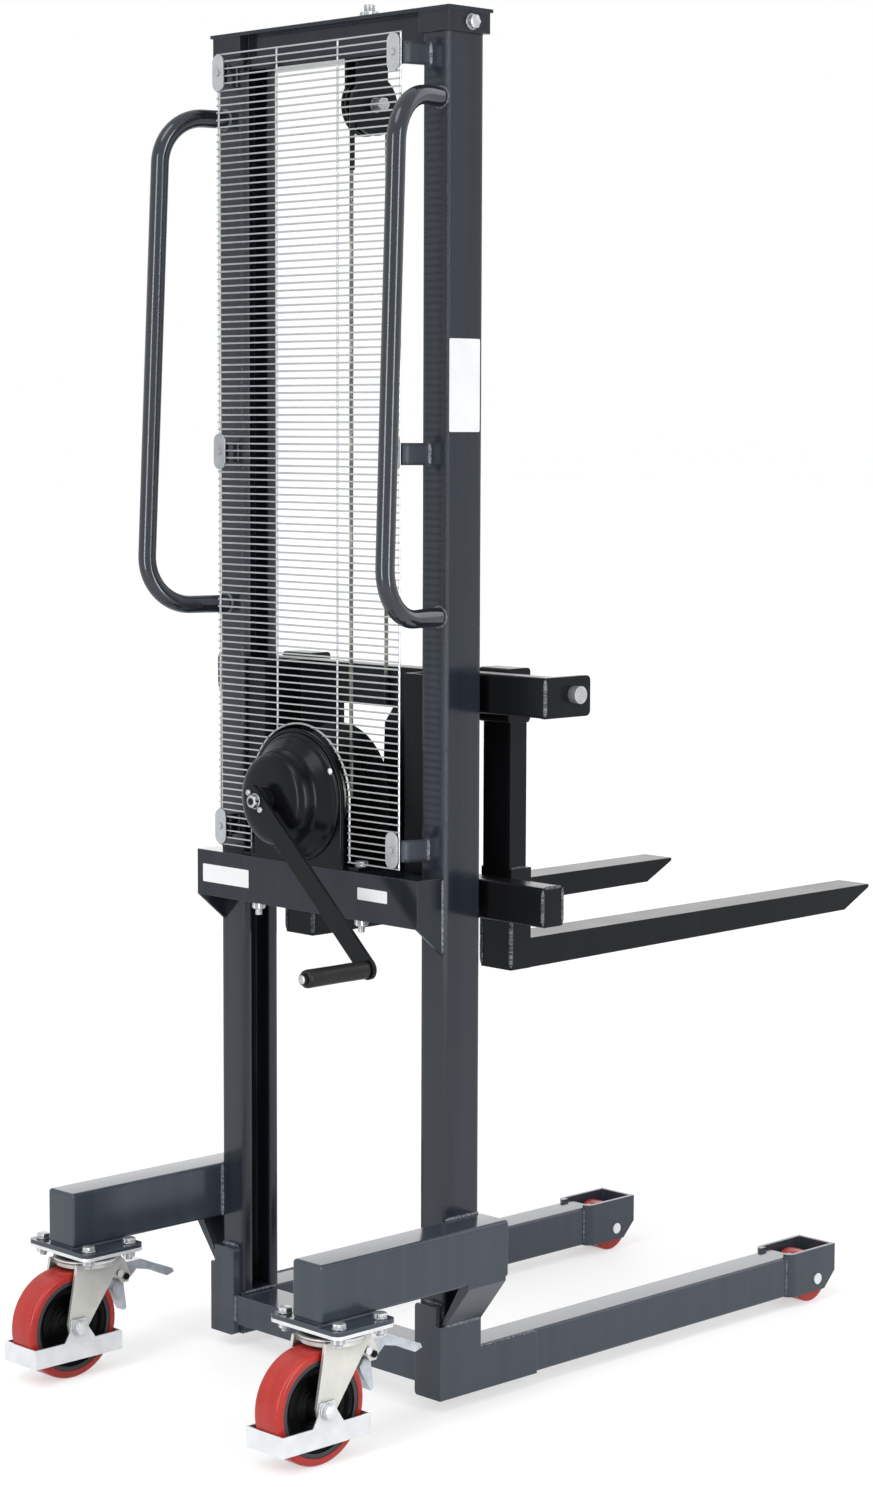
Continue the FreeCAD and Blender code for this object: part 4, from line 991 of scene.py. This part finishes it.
HOUSING_BEADS = (
    ((764.9, 250.4, 24), (764.9, 250.4, 82), 2.0),       # front roller's housing on the leg
    ((763.9, 193.6, 24), (763.9, 193.6, 82), 2.0),
)
HANDLE_ENDS = (1145.0, 1865.0)
HANDLE_WELD_X = -0.4
HANDLE_Y = 230.0
HANDLE_RING = 14.2
HANDLE_BEAD = 2.3
STAYS = (1926.5, 1374.0, 813.5)
STAY_WELD_X = -0.6
STAY_LOW = 15.0
STAY_HIGH = 13.0
# place across and radius
STAY_BEADS = ((202.8, 2.6), (210.6, 3.4))
CARRIAGE_BEADS = (
    ((89.2, 352, 1006), (89.2, 352, 1058), 3.4),         # end plate of the upper bar
    ((121.4, 342.6, 1006), (121.4, 342.6, 1058), 3.2),
    ((91, 348, 709), (91, 348, 760), 3.0),               # end of the lower bar
    ((130.6, 348, 709), (130.6, 348, 760), 3.0),
    ((94, 348, 762), (128, 348, 762), 2.8),
    ((81.4, 154, 714), (81.4, 188, 714), 2.8),           # side tube on the panel
    ((81.4, 154, 1059), (81.4, 188, 1059), 2.8),
    ((89.4, 60, 1003.4), (89.4, 150, 1003.4), 3.0),      # bars on the panel
    ((89.4, 40, 763.4), (89.4, 160, 763.4), 3.0),
)
FORK_BEADS = (
    ((133.6, 244.2, 631), (133.6, 244.2, 703), 3.4),     # heel's rear edges
    ((133.6, 184.8, 631), (133.6, 184.8, 703), 3.4),
    ((136, 242, 775.4), (164, 242, 775.4), 2.8),         # post on the heel
    ((136, 187, 775.4), (164, 187, 775.4), 2.8),
    ((166.4, 190, 775.6), (166.4, 240, 775.6), 2.8),
    ((166.2, 190, 986.6), (166.2, 240, 986.6), 2.8),     # eye on the post
    ((174.2, 188, 671.6), (174.2, 241, 671.6), 3.0),     # root of the blade
)


def beads(b, rows, s):
    for (x0, y0, z0), (x1, y1, z1), radius in rows:
        b.weld(at(x0, s * y0, z0), at(x1, s * y1, z1), radius)


def make_welds():
    b = Build()
    for _, s in SIDES:
        beads(b, BASE_BEADS, s)
        for z in HANDLE_ENDS:
            b.weld_ring(at(HANDLE_WELD_X, s * HANDLE_Y, z), BACK, HANDLE_RING, HANDLE_BEAD)
        for z in STAYS:
            beads(b, [((STAY_WELD_X, y, z - STAY_LOW), (STAY_WELD_X, y, z + STAY_HIGH), r)
                      for y, r in STAY_BEADS], s)
        beads(b, HOUSING_BEADS, s)
    b.make("frame_welds", GREY_WELD, "frame", "anthracite")
    c = Build()
    for _, s in SIDES:
        beads(c, CARRIAGE_BEADS, s)
    c.make("carriage_welds", BLACK_WELD, "carriage", "black")
    for side, s in SIDES:
        f = Build()
        beads(f, FORK_BEADS, s)
        f.make("fork_welds_" + side, BLACK_WELD, "fork_" + side, "black")


make_welds()


# blank film stickers where the photograph has printed ones

STICKER_T = 0.25
SHELF_REAR = -51.0
# y, z, width, height
SHELF_STICKERS = ((174.6, 740.2, 105, 27), (-147.4, 745.2, 62, 17.6))
SHELF_STICKER_R = 1.6
MAST_SIDE = -244.0
# x, z, width, height
MAST_STICKER = (34.6, 1469.0, 60, 130)
MAST_STICKER_R = 2.5
CORNER_STEPS = 4


def round_corners(w, h, r):
    """Outline of a w by h sheet with rounded corners."""
    pts = []
    for quarter, (i, j) in enumerate(((1, 1), (-1, 1), (-1, -1), (1, -1))):
        for k in range(CORNER_STEPS + 1):
            t = math.radians(90 * (quarter + k / CORNER_STEPS))
            pts.append((i * (w / 2 - r) + r * math.cos(t), j * (h / 2 - r) + r * math.sin(t)))
    return pts


def make_stickers():
    b = Build()
    for y, z, w, h in SHELF_STICKERS:
        pts = round_corners(w, h, SHELF_STICKER_R)
        b.rings([[at(SHELF_REAR - d, y + p, z + q) for p, q in pts] for d in (0, STICKER_T)])
    x, z, w, h = MAST_STICKER
    pts = round_corners(w, h, MAST_STICKER_R)
    b.rings([[at(x + p, MAST_SIDE - d, z + q) for p, q in pts] for d in (0, STICKER_T)])
    b.make("blank_stickers", STICKER, "frame", "anthracite")


make_stickers()
